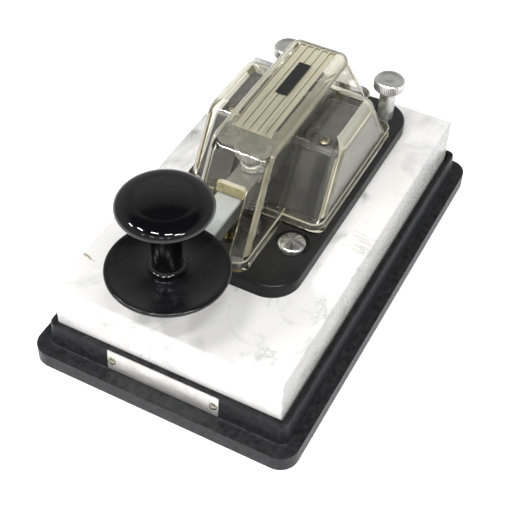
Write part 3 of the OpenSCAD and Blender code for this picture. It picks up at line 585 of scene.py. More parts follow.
def mesh_piece(name, mesh, material, body, origin=(0, 0, 0), sharp=35):
    """A piece that rides on a body, with smooth faces between its sharp edges."""
    made = bmesh.new()
    made.from_mesh(mesh)
    bmesh.ops.recalc_face_normals(made, faces=made.faces)
    poured(made, mesh)
    mesh.shade_smooth()
    mesh.set_sharp_from_angle(angle=math.radians(sharp))
    mesh.materials.clear()
    mesh.materials.append(material)
    piece = put(name, mesh)
    piece.location = origin
    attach(piece, body)
    return piece


def around(centre, radius, share, height):
    """The point at a share of a turn round an upright axis."""
    turn = 2 * math.pi * share
    return centre[0] + radius * math.cos(turn), centre[1] + radius * math.sin(turn), height


def arc(cx, cz, r, start, end, steps=8):
    """Points of an arc in a profile, angles in degrees."""
    turns = [math.radians(start + (end - start) * i / steps) for i in range(steps + 1)]
    return [(cx + r * math.cos(t), cz + r * math.sin(t)) for t in turns]


def revolve(profile, centre, sides=96):
    """Verts and faces of a turned form. Its profile of (radius, height) ends on the axis or at its start."""
    verts, faces, rings = [], [], []
    for radius, height in profile:
        count = sides if radius > 1e-7 else 1
        rings.append(range(len(verts), len(verts) + count))
        verts += [around(centre, radius, k / sides, centre[2] + height) for k in range(count)]
    for low, high in zip(rings, rings[1:]):
        for k in range(sides):
            m = (k + 1) % sides
            if len(low) == 1:
                faces.append((low[0], high[m], high[k]))
            elif len(high) == 1:
                faces.append((low[k], low[m], high[0]))
            else:
                faces.append((low[k], low[m], high[m], high[k]))
    return verts, faces


def stacked(rings):
    """Verts and faces of a closed form through rings of points: the first end, the sides, the last end."""
    count = len(rings[0])
    faces = [tuple(reversed(range(count)))]
    for row in range(len(rings) - 1):
        a, b = row * count, (row + 1) * count
        faces += [(a + k, a + (k + 1) % count, b + (k + 1) % count, b + k) for k in range(count)]
    faces.append(tuple(range((len(rings) - 1) * count, len(rings) * count)))
    return [point for ring in rings for point in ring], faces


def threaded_rod(radius, pitch, low, high, centre, depth=0.3 * MM, sides=28, per_turn=8):
    """Verts and faces of a rod whose surface winds as a screw thread and fades out at both ends."""
    rows = max(4, int(round((high - low) / pitch * per_turn)))
    rings = []
    for row in range(rows + 1):
        z = low + (high - low) * row / rows
        fade = min(1.0, (z - low) / pitch * 2, (high - z) / pitch * 2)
        sinks = [abs(2 * ((z / pitch - k / sides) % 1.0) - 1) for k in range(sides)]
        rings.append([around(centre, radius - depth * (1 - fade) - depth * fade * sink, k / sides, z)
                      for k, sink in enumerate(sinks)])
    return stacked(rings)


def knurled_head(radius, low, high, centre, teeth, bands, depth=0.35 * MM, edge=0.6 * MM):
    """A straight-knurled head with chamfered rims; bands are turned rings on its top, (radius, sink)."""
    tooth = (0, 0.55, 1, 0.55)
    sides = teeth * len(tooth)
    root = radius - depth
    rows = [(root - edge, low, 0), (root, low + edge * 0.7, 0), (radius, low + edge * 1.2, 1),
            (radius, high - edge * 1.2, 1), (root, high - edge * 0.7, 0), (root - edge, high, 0)]
    rings = []
    for r, z, toothed in rows + [(r, high - sink, 0) for r, sink in bands]:
        cuts = [depth * tooth[k % len(tooth)] * toothed for k in range(sides)]
        rings.append([around(centre, r - cut, k / sides, z) for k, cut in enumerate(cuts)])
    return stacked(rings)


def together(*forms):
    """Several (verts, faces) as one."""
    verts, faces = [], []
    for more_verts, more_faces in forms:
        shift = len(verts)
        verts.extend(more_verts)
        faces.extend(tuple(i + shift for i in face) for face in more_faces)
    return verts, faces


def solid_mesh(name, points, radius=0.0, segments=1):
    """A convex body through the points, with all its edges rounded."""
    made = bmesh.new()
    for p in points:
        made.verts.new(p)
    bmesh.ops.convex_hull(made, input=made.verts)
    bmesh.ops.dissolve_limit(made, angle_limit=math.radians(1), verts=made.verts, edges=made.edges)
    if radius > 0:
        bmesh.ops.bevel(made, geom=made.edges[:], offset=radius, segments=segments, profile=0.5,
                        affect="EDGES", clamp_overlap=True)
    return bpy.data.objects.new(name, poured(made, bpy.data.meshes.new(name)))


def box_mesh(name, low, high, radius=0.0, segments=1):
    """A block between two corners."""
    corners = [(x, y, z) for x in (low[0], high[0]) for y in (low[1], high[1]) for z in (low[2], high[2])]
    return solid_mesh(name, corners, radius, segments)


def boolean(target, cutters, operation):
    """Applies exact booleans one after another, and drops the cutters."""
    scene = bpy.context.scene.collection.objects
    scene.link(target)
    for cutter in cutters:
        scene.link(cutter)
        step = target.modifiers.new("step", "BOOLEAN")
        step.operation = operation
        step.solver = "EXACT"
        step.object = cutter
    mesh = applied(target)
    target.modifiers.clear()
    target.data = mesh
    for cutter in cutters:
        bpy.data.objects.remove(cutter)
    scene.unlink(target)
    return target


def round_box(node):
    """A round node's middle at height nought, its radius and its two heights."""
    low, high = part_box(node)
    return ((low.x + high.x) / 2, (low.y + high.y) / 2, 0), (high.x - low.x) / 2, low.z, high.z


def round_pair(node, r):
    """The middles of a node's two round pieces at height nought, left and right, and its two heights."""
    low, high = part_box(node)
    y = (low.y + high.y) / 2
    return (low.x + r, y, 0), (high.x - r, y, 0), low.z, high.z


def at_height(centre, z):
    return centre[0], centre[1], z


# The clear cover, from the frame


class CoverPlan:
    """Where the cover's faces lie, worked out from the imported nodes."""

    def __init__(self):
        low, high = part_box("clear_cover")
        self.top = high.z
        self.foot = low.z
        self.rise = self.top - self.foot
        self.wall = 1.8 * MM
        self.lip = 0.7 * MM
        self.lip_height = 4.5 * MM
        self.nose_y = low.y + self.lip
        self.back_y = high.y - self.lip
        self.nose_half = 12.9 * MM
        self.front_run = 24.4 * MM
        self.back_run = 27.2 * MM
        self.shoulder_y = self.nose_y + 30.8 * MM
        self.shoulder_back_y = self.back_y - 16.55 * MM
        self.shoulder_half = high.x - self.lip
        self.shoulder_rise = 29.2 * MM
        self.slot_half = 6.1 * MM
        self.slot_reach = 19.5 * MM
        self.lever_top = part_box("lever_arm")[1].z
        self.slot_top = self.lever_top + 3.5 * MM
        self.grooves = [x * 3.1 * MM for x in range(-2, 3)]
        self.groove_half = 1.15 * MM
        self.groove_floor = self.top - 0.5 * MM
        self.groove_front = self.nose_y + self.front_run + 3.2 * MM
        self.groove_back = self.back_y - 30.2 * MM
        self.panel_half = self.grooves[-1] + self.groove_half + 0.3 * MM
        self.panel_front = self.groove_front - 0.5 * MM
        self.panel_back = self.groove_back + 0.4 * MM

    def bodies(self):
        """The hump, with the facet above its lever slot, and the shoulders."""
        hump = Moulding(
            self.foot, self.rise, side=(self.nose_half, 0.5 * MM), front=(self.nose_y, self.front_run),
            back=(self.back_y, self.back_run), corner=4 * MM, bends=(3.6 * MM, 8 * MM, 3.2 * MM),
            facet=(34.4 * MM, math.radians(61), 8 * MM),
        )
        shoulders = Moulding(
            self.foot, self.shoulder_rise, side=(self.shoulder_half, 0.4 * MM),
            front=(self.shoulder_y, 17.2 * MM), back=(self.shoulder_back_y, 18.6 * MM),
            corner=4.6 * MM, bends=(4.6 * MM, 8.5 * MM, 3.6 * MM),
        )
        return hump, shoulders

    def lips(self):
        """The low flanges round the foot of the hump and of the shoulders, whose tops lie a hair apart."""
        lower = self.lip_height - 0.04 * MM
        return [self.flange(self.nose_half, self.nose_y, self.back_y, self.lip_height),
                self.flange(self.shoulder_half, self.shoulder_y, self.shoulder_back_y, lower)]

    def flange(self, half, front, back, height):
        lean, bend = 0.1 * MM, 0.5 * MM
        return Moulding(
            self.foot, height, side=(half + self.lip, lean), front=(front - self.lip, lean),
            back=(back + self.lip, lean), corner=4.7 * MM, bends=(bend, bend, bend),
        )

    def front_face(self, z):
        """Where the hump's front slope is at a height."""
        return self.nose_y + self.front_run * (z - self.foot) / self.rise


class Moulding:
    """A body that leans in to its top.

    Each wall is given by its place at the foot and how far it leans in over the height, and has a bend of
    its own at the top. A facet may cut the front: it is given by the height where its plane leaves the
    front wall, its tilt, and the radius of the bend below it.
    """

    STEPS = 8
    BEND_ROWS = 10

    def __init__(self, foot, height, side, front, back, corner, bends, facet=None):
        self.foot = foot
        self.facet = facet
        self.height = height
        self.walls = {"side": (*side, bends[0]), "front": (*front, bends[1]), "back": (*back, bends[2])}
        self.corner = corner

    def inward(self, name, skin, turn):
        """How far in from its foot and how high a wall is, along its top bend as turn goes from 0 to 1.

        Without a turn it is the wall's end, a little below the foot.
        """
        lean, bend = self.walls[name][1:]
        wall = (math.atan2(lean, self.height), -skin)
        top = (math.pi / 2, self.height - skin)
        if turn is None:
            below = -1 * MM
            return lean * below / self.height + skin / math.cos(wall[0]), below
        if name != "front" or self.facet is None:
            return self.on_bend(wall, top, bend - skin, turn)
        level, tilt, low_bend = self.facet
        facet = (tilt, level * (math.sin(tilt) - math.cos(tilt) * lean / self.height) - skin)
        low_end, high_start = 0.4, 0.5
        if turn < high_start:
            return self.on_bend(wall, facet, low_bend - skin, turn / low_end)
        return self.on_bend(facet, top, bend - skin, (turn - high_start) / (1 - high_start))

    def on_bend(self, first, second, radius, share):
        """A point of the bend between two walls, each given by its normal's angle and how far out it lies."""
        (a, p), (b, q) = first, second
        radius = max(radius, 0.5 * MM)
        p, q = p - radius, q - radius
        across = math.sin(a - b)
        turn = a + share * (b - a)
        return ((p * math.sin(b) - q * math.sin(a)) / across - radius * math.cos(turn),
                (p * math.cos(b) - q * math.cos(a)) / across + radius * math.sin(turn))

    def ring(self, skin, turn):
        """A closed line of points round the body, through its four corners."""
        points = []
        side_in, side_z = self.inward("side", skin, turn)
        shrink = 0 if turn is None else side_in - self.inward("side", skin, 0)[0]
        r = max(self.corner - skin - 0.7 * shrink, 0.6 * MM)
        for way, name in ((1, "back"), (-1, "back"), (-1, "front"), (1, "front")):
            wall_in, wall_z = self.inward(name, skin, turn)
            out = 1 if name == "back" else -1
            for i in range(self.STEPS + 1):
                a = math.radians(90 * i / self.STEPS)
                if way * out < 0:
                    a = math.pi / 2 - a
                x = way * (self.walls["side"][0] - side_in - r + r * math.cos(a))
                y = self.walls[name][0] - out * (wall_in + r - r * math.sin(a))
                share = math.sin(a) ** 2
                points.append((x, y, self.foot + side_z * (1 - share) + wall_z * share))
        return points

    def is_edge(self, row, k):
        """True for the bends but the broad front one, and for the side half of the upright corners.

        A lip's bends are small and all count.
        """
        corner, step = divmod(k, self.STEPS + 1)
        is_lip = self.walls["front"][2] < 2 * MM
        if is_lip:
            return row > 0
        if step == self.STEPS:
            return row > 0 and corner != 2
        from_side = step if corner in (0, 2) else self.STEPS - 1 - step
        return from_side < (5 if row == 0 else 4 if corner > 1 else self.STEPS)

    def solid(self, name, materials, skin=0.0):
        """The body as a closed mesh, a distance inside its outer faces, and clear throughout if inside."""
        turns = [None] + [i / self.BEND_ROWS for i in range(self.BEND_ROWS + 1)]
        rings = [self.ring(skin, turn) for turn in turns]
        verts, faces = stacked(rings)
        mesh = bpy.data.meshes.new(name)
        mesh.from_pydata(verts, [], faces)
        for material in materials:
            mesh.materials.append(material)
        for count, face in enumerate(mesh.polygons[1:-1]):
            row, k = divmod(count, len(rings[0]))
            on_facet = self.facet is not None and row > 4 and k // (self.STEPS + 1) > 1
            edge = EDGE if self.facet is None else HUMP_EDGE
            outer = edge if self.is_edge(row, k) else HAZY if on_facet else CLEAR
            face.material_index = CLEAR if skin > 0 else outer
        return bpy.data.objects.new(name, mesh)


CLEAR, EDGE, PANEL, GROOVE_SIDE, HAZY, HUMP_EDGE = range(6)


def cover_materials():
    """The cover's materials, in the order of the numbers above."""
    return (
        own_material("clear_plastic"),
        edge_plastic("edge_plastic", cover_settings().cream),
        milky_panel(),
        panel_wall(),
        hazy_plastic(),
        edge_plastic("hump_edge", (0.46, 0.43, 0.32)),
    )


def slot_cutter(plan, materials):
    """The opening for the lever: straight sides and round upper corners, from under the foot."""
    r = 2 * MM
    below = plan.foot - 3 * MM
    outline = [(plan.slot_half, below)]
    outline += arc(plan.slot_half - r, plan.slot_top - r, r, 0, 90, 6)
    outline += arc(-plan.slot_half + r, plan.slot_top - r, r, 90, 180, 6)
    outline.append((-plan.slot_half, below))
    points = [(x, y, z) for x, z in outline for y in (plan.nose_y - 5 * MM, plan.nose_y + plan.slot_reach)]
    slot = solid_mesh("slot", points)
    for material in materials:
        slot.data.materials.append(material)
    for face in slot.data.polygons:
        face.material_index = EDGE
    return slot


def cover_mesh(plan, materials):
    """The cover's shell: hump, shoulders and lips, hollowed, slotted and grooved."""
    hump, shoulders = plan.bodies()
    added = [shoulders.solid("shoulders", materials)] + [lip.solid("lip", materials) for lip in plan.lips()]
    shell = boolean(hump.solid("hump", materials), added, "UNION")
    cutters = [body.solid("room", materials, plan.wall) for body in (hump, shoulders)]
    cutters.append(slot_cutter(plan, materials))
    cutters.append(box_mesh("below", (-1, -1, plan.foot - 0.1), (1, 1, plan.foot)))
    for x in plan.grooves:
        cutters.append(box_mesh("groove", (x - plan.groove_half, plan.groove_front, plan.groove_floor),
                                (x + plan.groove_half, plan.groove_back, plan.top + 2 * MM)))
    return cut_panel(plan, boolean(shell, cutters, "DIFFERENCE").data)


def cut_panel(plan, mesh):
    """Cuts the top's faces along the panel's outline, so that its material ends on clean lines."""
    made = bmesh.new()
    made.from_mesh(mesh)
    for point, normal in (((plan.panel_half, 0, 0), (1, 0, 0)), ((-plan.panel_half, 0, 0), (1, 0, 0)),
                          ((0, plan.panel_front, 0), (0, 1, 0)), ((0, plan.panel_back, 0), (0, 1, 0))):
        level = [f for f in made.faces if f.normal.z > 0.99]
        faces = [f for f in level if f.calc_center_median().z > plan.top - 0.01 * MM]
        edges = {e for f in faces for e in f.edges}
        verts = {v for f in faces for v in f.verts}
        bmesh.ops.bisect_plane(made, geom=[*verts, *edges, *faces], plane_co=point, plane_no=normal)
    return poured(made, mesh)


def weighted(mesh):
    """Shades a mesh by its large faces."""
    mesh.shade_smooth()
    mesh.set_sharp_from_angle(angle=math.radians(38))
    shell = put("shell", mesh)
    step = shell.modifiers.new("weighted", "WEIGHTED_NORMAL")
    step.keep_sharp = True
    step.weight = 80
    shaded = applied(shell)
    bpy.data.objects.remove(shell)
    return shaded


# Operators


class KEY_OT_stage(bpy.types.Operator):
    """Pale floor, soft light and the camera at the photograph's angle"""

    bl_idname = "key.stage"
    bl_label = "Stage"

    def execute(self, context):
        props = context.scene.key_stage
        context.scene.view_settings.view_transform = "Standard"
        self.camera(props)
        self.floor(props)
        self.world(props)
        self.lamps(props)
        return {"FINISHED"}

    def camera(self, props):
        a, e, roll = props.azimuth, props.elevation, props.roll
        back = Vector((math.sin(a) * math.cos(e), -math.cos(a) * math.cos(e), math.sin(e)))
        right = Vector((0, 0, 1)).cross(back).normalized()
        up = back.cross(right)
        axis_x = right * math.cos(roll) + up * math.sin(roll)
        axis_y = up * math.cos(roll) - right * math.sin(roll)
        turn = Matrix((axis_x, axis_y, back)).transposed()
        camera = put("camera", bpy.data.cameras.new("camera"))
        camera.data.lens = props.lens
        camera.data.sensor_width = 36
        camera.data.clip_start = 0.01
        camera.matrix_world = Matrix.Translation(Vector(props.target) + back * props.distance) @ turn.to_4x4()
        bpy.context.scene.camera = camera

    def floor(self, props):
        """A broad plane that glows a little in what the camera sees, so that it stays pale."""
        reach = 4.0
        corners = [(x * reach, y * reach, 0) for x, y in ((-1, -1), (1, -1), (1, 1), (-1, 1))]
        mesh = bpy.data.meshes.new("floor")
        mesh.from_pydata(corners, [], [(0, 1, 2, 3)])
        f = Finish("floor_white", Roughness=0.6, Specular_IOR_Level=0.2)
        f.set(Base_Color=f.tones(f.cloud(3, 2), props.floor_colour, shade(props.floor_colour, 1.01)))
        plain = f.shader.outputs[0]
        glow = f.made("ShaderNodeEmission", {"Strength": 0.55})
        glowing = f.made("ShaderNodeAddShader", {0: plain, 1: glow})
        mesh.materials.append(f.end(f.either(f.rays("Camera", "Glossy", "Transmission"), plain, glowing)))
        put("floor", mesh)

    def world(self, props):
        """A grey room to reflect, darker overhead and brighter low down in front; the camera sees white."""
        world = bpy.data.worlds.new("studio")
        bpy.context.scene.world = world
        world.use_nodes = True
        g = Graph(world.node_tree)
        g.tree.nodes.clear()
        way = g.made("ShaderNodeTexCoord", {}, "Generated")
        levels = ((0.0, 0.50), (0.60, 0.46), (0.76, 0.28), (0.82, 0.05), (1, 0.04))
        height = g.ramp(g.part(way, "Z"), [(at, (level, level, level)) for at, level in levels])
        before = g.span(g.part(way, "Y"), 0, 1, -0.2, -0.8)
        low = g.span(g.part(way, "Z"), 0, 1, 0.4, 0.2)
        light = g.mix(g.times(before, low), height, (0.50, 0.50, 0.50))
        room = g.made("ShaderNodeBackground", {"Color": light, "Strength": props.room})
        white = g.made("ShaderNodeBackground", {"Strength": 1.0})
        seen = g.either(g.rays("Camera", "Transmission"), room, white)
        g.feed(g.tree.nodes.new("ShaderNodeOutputWorld").inputs["Surface"], seen)

    def lamps(self, props):
        """The row over the camera, and four small ones low in front for the glints on upright faces."""
        pitch, middle = 0.4, 0.16
        for i in range(props.lamp_count):
            across = (i - (props.lamp_count - 1) / 2) * pitch
            self.lamp(f"lamp_{i}", (middle + across, -0.5, 1.05), 0.2, 0.05, props.lamp_power)
        glint_pitch, glint_left = 0.3, -0.25
        for i in range(4):
            place = (glint_left + glint_pitch * i, -0.9, 0.62)
            self.lamp(f"glint_{i}", place, 0.12, 0.02, 0.08 * props.lamp_power)

    def lamp(self, name, place, width, depth, power):
        data = bpy.data.lights.new(name, "AREA")
        data.shape = "RECTANGLE"
        data.size = width
        data.size_y = depth
        data.energy = power
        aim = Vector((0, 0, 0.03)) - Vector(place)
        lamp = put(name, data)
        lamp.location = place
        lamp.rotation_euler = aim.to_track_quat("-Z", "Y").to_euler()


class KEY_OT_finishes(bpy.types.Operator):
    """Gives every carried-over piece its material"""

    bl_idname = "key.finishes"
    bl_label = "Finishes"

    def execute(self, context):
        plating = finish_settings().plating
        made = {
            "tray_plastic": tray_plastic(),
            "foot_rubber": foot_rubber(),
            "marble": marble(),
            "nameplate_metal": nameplate_metal(),
            "plate_plastic": plate_plastic(),
            "knob_plastic": knob_gloss(),
            "block_plastic": block_plastic(),
            "bright_metal": metal("bright_metal", shade(plating, 0.8), 0.14),
            "satin_metal": metal("satin_metal", shade(plating, 0.86), 0.26, (1, 1, 0.1), 0.8),
            "lever_metal": lever_metal(),
            "zinc_steel": metal("zinc_steel", (0.36, 0.335, 0.26), 0.2),
            "brass": metal("brass", finish_settings().brass, 0.22),
            "contact_silver": metal("contact_silver", (0.70, 0.69, 0.66), 0.16),
            "spring_steel": metal("spring_steel", (0.34, 0.34, 0.35), 0.3),
            "clear_plastic": clear_plastic(),
            "label_black": label_black(),
        }
        # Painted shade: the adjusting screws get a darker copy of the plating, at half its brightness
        metal("screw_metal", shade(plating, 0.5), 0.36, shine=0.7)
        slots = {part["node"]: part["material_slot"] for part in frame["record"]["subparts"]}
        for name, piece in frame["nodes"].items():
            piece.data.materials.clear()
            piece.data.materials.append(made[slots[name]])
        return {"FINISHED"}


class KEY_OT_marble(bpy.types.Operator):
    """Cuts the marble slab with worn edges and a few chips"""

    bl_idname = "key.marble"
    bl_label = "Marble slab"

    def execute(self, context):
        low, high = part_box("marble_slab")
        slab = box_mesh("slab", low, high, 0.7 * MM, 3)
        draw = random.Random(7)
        places = ((low.x, low.y, 1.6), (low.x, low.y + 7.5 * MM, 0.9), (low.x, low.y + 18 * MM, 0.7),
                  (high.x, low.y, 0.8))
        chips = [self.chip(draw, Vector((x, y, high.z)), size * MM) for x, y, size in places]
        cut = boolean(slab, chips, "DIFFERENCE").data
        piece = mesh_piece("cut_marble", cut, own_material("marble"), "root", sharp=28)
        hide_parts("marble_slab")
        return {"FINISHED"}

    def chip(self, draw, place, radius):
        """A rough pebble that takes a chip from the slab's edge."""
        made = bmesh.new()
        bmesh.ops.create_icosphere(made, subdivisions=2, radius=radius)
        for v in made.verts:
            v.co *= 1 + draw.uniform(-0.22, 0.22)
            v.co.y *= 1.7
            v.co += place
        return bpy.data.objects.new("chip", poured(made, bpy.data.meshes.new("chip")))


class KEY_OT_cover(bpy.types.Operator):
    """Moulds the clear cover with its walls, lip, slot and flutes"""

    bl_idname = "key.cover"
    bl_label = "Clear cover"

    def execute(self, context):
        plan = CoverPlan()
        mesh = weighted(cover_mesh(plan, cover_materials()))
        if not mesh.polygons:
            raise RuntimeError("the cover's mesh is empty")
        for face in mesh.polygons:
            face.material_index = self.part_of(plan, face)
        cover = put("moulded_cover", mesh)
        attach(cover, "cover")
        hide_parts("clear_cover")
        self.lintel(plan)
        return {"FINISHED"}

    def part_of(self, plan, face):
        """Which material a face has: the one it was moulded with, the panel's, or that of a groove's side."""
        c = face.center
        on_panel = abs(c.x) < plan.panel_half and plan.panel_front < c.y < plan.panel_back
        if not on_panel or c.z < plan.groove_floor - 0.02 * MM:
            return face.material_index
        if face.normal.z > 0.9:
            return PANEL
        return GROOVE_SIDE if c.z > plan.groove_floor else face.material_index

    def lintel(self, plan):
        """The thick strip that closes the slot above the lever, in the front wall's own plane."""
        low, high = plan.lever_top + 0.35 * MM, plan.slot_top - 0.15 * MM
        half = plan.slot_half - 0.3 * MM
        corners = [(x, plan.front_face(z) + y, z) for x in (-half, half) for y in (0.5 * MM, 1.9 * MM)
                   for z in (low, high)]
        strip = solid_mesh("lintel", corners, 0.25 * MM, 2)
        mesh_piece("slot_lintel", strip.data, aged_strip(), "cover")


class KEY_OT_knob(bpy.types.Operator):
    """Turns the knob's skirt and button"""

    bl_idname = "key.knob"
    bl_label = "Knob"

    NECK = 5.15 * MM

    def execute(self, context):
        self.skirt()
        self.button()
        return {"FINISHED"}

    def skirt(self):
        """A thin disc with a rising underside and a shallow dish in its top."""
        centre, r, low, high = round_box("knob_skirt")
        origin = at_height(centre, low)
        t = high - low
        neck = self.NECK
        bore = 2.1 * MM
        rim = 0.9 * MM
        profile = [(bore, 0), (neck + 8 * MM, 0), (r - 6 * MM, t - 2.3 * MM)]
        profile += arc(r - rim, t - rim, rim, -80, 90, 14)
        profile += [(r - 1.6 * MM, t - 0.06 * MM), (r - 2.6 * MM, t - 0.3 * MM), (r - 4.4 * MM, t - 0.7 * MM),
                    (r * 0.62, t - 1.0 * MM), (neck + 5 * MM, t - 0.95 * MM), (neck + 3 * MM, t - 0.7 * MM),
                    (neck + 1.9 * MM, t - 0.4 * MM), (bore, t - 0.4 * MM), (bore, 0)]
        form = revolve(profile, origin)
        piece = mesh_object("turned_skirt", form, skirt_gloss(), "lever", origin, 60)
        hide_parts("knob_skirt")

    def button(self):
        """A neck with a rounded foot, a flare under the head, and a domed top with a rolled rim."""
        centre, r, low, high = round_box("knob_button")
        neck = self.NECK
        fillet = 1.7 * MM
        under = 0.9 * MM
        rise = high - 4.5 * MM
        flare = rise - 7.3 * MM
        profile = [(0, low), (neck + fillet, low)]
        profile += arc(neck + fillet, low + 3 * MM, fillet, 270, 180, 8)
        for i in range(13):
            a = math.radians(84 * i / 12)
            across = neck + (r - under - neck) * (1 - math.cos(a))
            profile.append((across, flare + (rise - under - flare) * math.sin(a)))
        profile += arc(r - under, rise, under, -88, 0, 8)
        roll, crown = 6.2 * MM, 0.9 * MM
        for i in range(1, 17):
            a = math.radians(90 * i / 17)
            profile.append((r - roll + roll * math.cos(a), rise + (high - crown - rise) * math.sin(a)))
        for i in range(14):
            x = (r - roll) * (1 - i / 13)
            profile.append((x, high - crown * (x / (r - roll)) ** 2))
        form = revolve(profile, centre, 128)
        piece = mesh_object("turned_button", form, own_material("knob_gloss"), "lever",
                            at_height(centre, low), 60)
        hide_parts("knob_button")


class KEY_OT_bolts(bpy.types.Operator):
    """Spins the two domed bolts' heads and the rear terminals' nuts"""

    bl_idname = "key.bolts"
    bl_label = "Domed bolts and thumb nuts"

    def execute(self, context):
        spun = spun_metal()
        r = 5.3 * MM
        left, right, low, high = round_pair("front_dome_bolts", r)
        domes = [self.dome("dome_bolt_left", left, r, low, high, spun),
                 self.dome("dome_bolt_right", right, r, low, high, spun)]
        for dome in domes:
            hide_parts("front_dome_bolts")
        for side in ("left", "right"):
            self.thumb_nut(side)
        return {"FINISHED"}

    def dome(self, name, centre, r, low, high, material):
        """One bolt: its shank, its head's short upright rim and its dome."""
        seat = high - 3.3 * MM
        shank = 2 * MM
        profile = [(0, low), (shank, low), (shank, seat), (r - 0.2 * MM, seat), (r, seat + 0.2 * MM),
                   (r, seat + 1.2 * MM)]
        profile += [(r * math.cos(a), seat + 1.5 * MM + 1.8 * MM * math.sin(a))
                    for a in [math.radians(90 * i / 14) for i in range(14)]]
        profile.append((0, high))
        return mesh_object(name, revolve(profile, centre, 72), material, "root",
                           at_height(centre, seat), 50)

    def thumb_nut(self, side):
        """A knurled nut with turned rings on its top and a tapered foot."""
        node = f"{side}_terminal_nut"
        centre, r, low, high = round_box(node)
        bore = 2.05 * MM
        step = low + 1.8 * MM
        foot = [(bore, low), (3.6 * MM, low), (r - 0.9 * MM, step), (bore, step), (bore, low)]
        sink = 0.06 * MM
        bands = [(r * 0.62, 0), (r * 0.60, sink), (r * 0.30, sink), (r * 0.28, 0), (r * 0.1, 2 * sink)]
        form = together(revolve(foot, centre, 72), knurled_head(r, step, high, centre, 52, bands))
        piece = mesh_object(f"{side}_knurled_nut", form, own_material("satin_metal"), f"{side}_thumb_nut",
                            at_height(centre, low), 32)
        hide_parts(node)


class KEY_OT_screws(bpy.types.Operator):
    """Cuts the adjusting screws with their threads and knurled heads, and the blocks' cross-headed screws"""

    bl_idname = "key.screws"
    bl_label = "Adjusting screws"

    def execute(self, context):
        self.adjuster("spring_screw", "spring_adjuster", 5.0 * MM, 1.4 * MM)
        self.adjuster("gap_screw", "gap_adjuster", 4.6 * MM, 1.5 * MM)
        r = 2.25 * MM
        left, right, low, high = round_pair("block_screws", r)
        self.cross_head("left", left, r, low, high, 25)
        self.cross_head("right", right, r, low, high, 60)
        return {"FINISHED"}

    def cross_head(self, side, centre, r, low, high, turn):
        """One block screw: a rounded head with a cross in it, and its thread."""
        crown = 0.9 * MM
        seat = high - 1.6 * MM
        profile = [(0, seat), (r - 0.1 * MM, seat), (r, seat + 0.1 * MM)]
        profile += [(r * math.cos(a), high - crown + crown * math.sin(a))
                    for a in [math.radians(a) for a in range(0, 90, 10)]]
        profile.append((0, high))
        verts, faces = revolve(profile, centre, 48)
        mesh = bpy.data.meshes.new("head")
        mesh.from_pydata(verts, [], faces)
        cross = [self.groove(centre, high, math.radians(turn + quarter)) for quarter in (0, 90)]
        head = boolean(bpy.data.objects.new("head", mesh), cross, "DIFFERENCE").data
        zinc = own_material("zinc_steel")
        head_piece = mesh_piece(f"{side}_cross_head", head, zinc, "root", sharp=32)
        rod = threaded_rod(1.5 * MM, 0.5 * MM, low, seat, centre, 0.2 * MM, 24, 6)
        thread_piece = mesh_object(f"{side}_block_thread", rod, zinc, "root")
        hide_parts("block_screws")
        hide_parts("block_screws")

    def groove(self, centre, top, a):
        """One arm of a cross, along an angle."""
        along, across = Vector((math.cos(a), math.sin(a), 0)), Vector((-math.sin(a), math.cos(a), 0))
        points = [Vector(centre) + along * u * 1.45 * MM + across * v * 0.36 * MM + Vector((0, 0, z))
                  for u in (-1, 1) for v in (-1, 1) for z in (top - 0.8 * MM, top + 1 * MM)]
        return solid_mesh("cross", points)

    def adjuster(self, node, body, head, tip_r):
        """A screw with a plain tip, a thread and a knurled head of the given height."""
        centre, r, low, high = round_box(node)
        tip_top, seat = low + 2.4 * MM, high - head
        tip = revolve([(0, low), (tip_r, low), (tip_r, tip_top), (0, tip_top)], centre, 32)
        rod = threaded_rod(2 * MM, 0.7 * MM, tip_top, seat, centre)
        bands = [(r * 0.72, 0), (r * 0.70, 0.15 * MM), (r * 0.2, 0.15 * MM), (r * 0.16, 0.3 * MM)]
        form = together(tip, rod, knurled_head(r, seat, high, centre, 44, bands))
        piece = mesh_object(f"threaded_{node}", form, own_material("screw_metal"), body,
                            at_height(centre, low), 32)
        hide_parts(node)


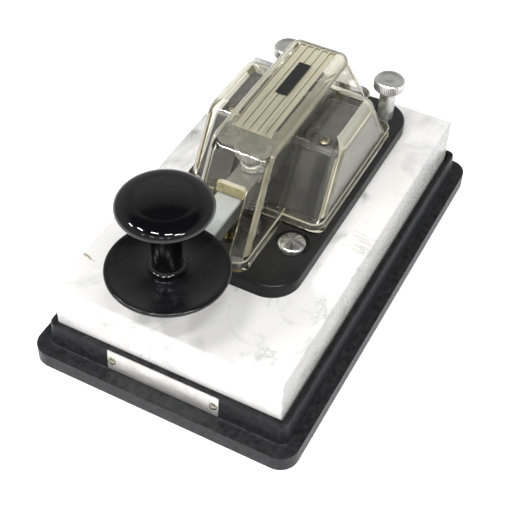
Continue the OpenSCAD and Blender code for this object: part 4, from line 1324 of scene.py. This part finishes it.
class KEY_OT_spring(bpy.types.Operator):
    """Winds the return spring"""

    bl_idname = "key.spring"
    bl_label = "Return spring"

    def execute(self, context):
        centre, outer, low, high = round_box("return_spring")
        wire = 0.45 * MM
        turns, per_turn, sides = 4, 32, 10
        steps = turns * per_turn
        rings = []
        for i in range(steps + 1):
            z = low + wire + (high - low - 2 * wire) * i / steps
            # The wire's section, as distances from the axis and heights
            section = [around((outer - wire, z), wire, k / sides, 0) for k in range(sides)]
            rings.append([around(centre, r, i / per_turn, height) for r, height, _ in section])
        foot = at_height(centre, low)
        steel = own_material("spring_steel")
        coil = mesh_object("wound_spring", stacked(rings), steel, "root", foot, 50)
        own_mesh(coil)
        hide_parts("return_spring")
        return {"FINISHED"}

    def travel(self, centre):
        """How far the lever comes down over the spring when the key is pressed."""
        rock = next(joint for joint in frame["joints"] if joint["name"] == "lever_rock")
        low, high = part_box("pivot_shaft")
        return ((low.y + high.y) / 2 - centre[1]) * math.sin(math.radians(rock["range_deg"][1]))


OPERATORS = (KEY_OT_stage, KEY_OT_finishes, KEY_OT_marble, KEY_OT_cover, KEY_OT_knob, KEY_OT_bolts,
             KEY_OT_screws, KEY_OT_spring)


class KEY_PT_panel(bpy.types.Panel):
    """Lists the key's operators and main settings"""

    bl_idname = "KEY_PT_panel"
    bl_label = "Telegraph key"
    bl_space_type = "VIEW_3D"
    bl_region_type = "UI"
    bl_category = "Key"

    def draw(self, context):
        for operator in OPERATORS:
            self.layout.operator(operator.bl_idname)
        for group in (context.scene.key_stage, context.scene.key_cover, context.scene.key_finish):
            box = self.layout.box()
            for name in group.__annotations__:
                box.prop(group, name)


CLASSES = (KeyStageSettings, KeyCoverSettings, KeyFinishSettings) + OPERATORS + (KEY_PT_panel,)


def register():
    for cls in CLASSES:
        bpy.utils.register_class(cls)
    bpy.types.Scene.key_stage = bpy.props.PointerProperty(type=KeyStageSettings)
    bpy.types.Scene.key_cover = bpy.props.PointerProperty(type=KeyCoverSettings)
    bpy.types.Scene.key_finish = bpy.props.PointerProperty(type=KeyFinishSettings)


def unregister():
    del bpy.types.Scene.key_finish
    del bpy.types.Scene.key_cover
    del bpy.types.Scene.key_stage
    for cls in reversed(CLASSES):
        bpy.utils.unregister_class(cls)


def main():
    register()
    bpy.ops.key.stage()
    bpy.ops.key.finishes()
    bpy.ops.key.marble()
    bpy.ops.key.cover()
    bpy.ops.key.knob()
    bpy.ops.key.bolts()
    bpy.ops.key.screws()
    bpy.ops.key.spring()


if __name__ == "__main__":
    main()
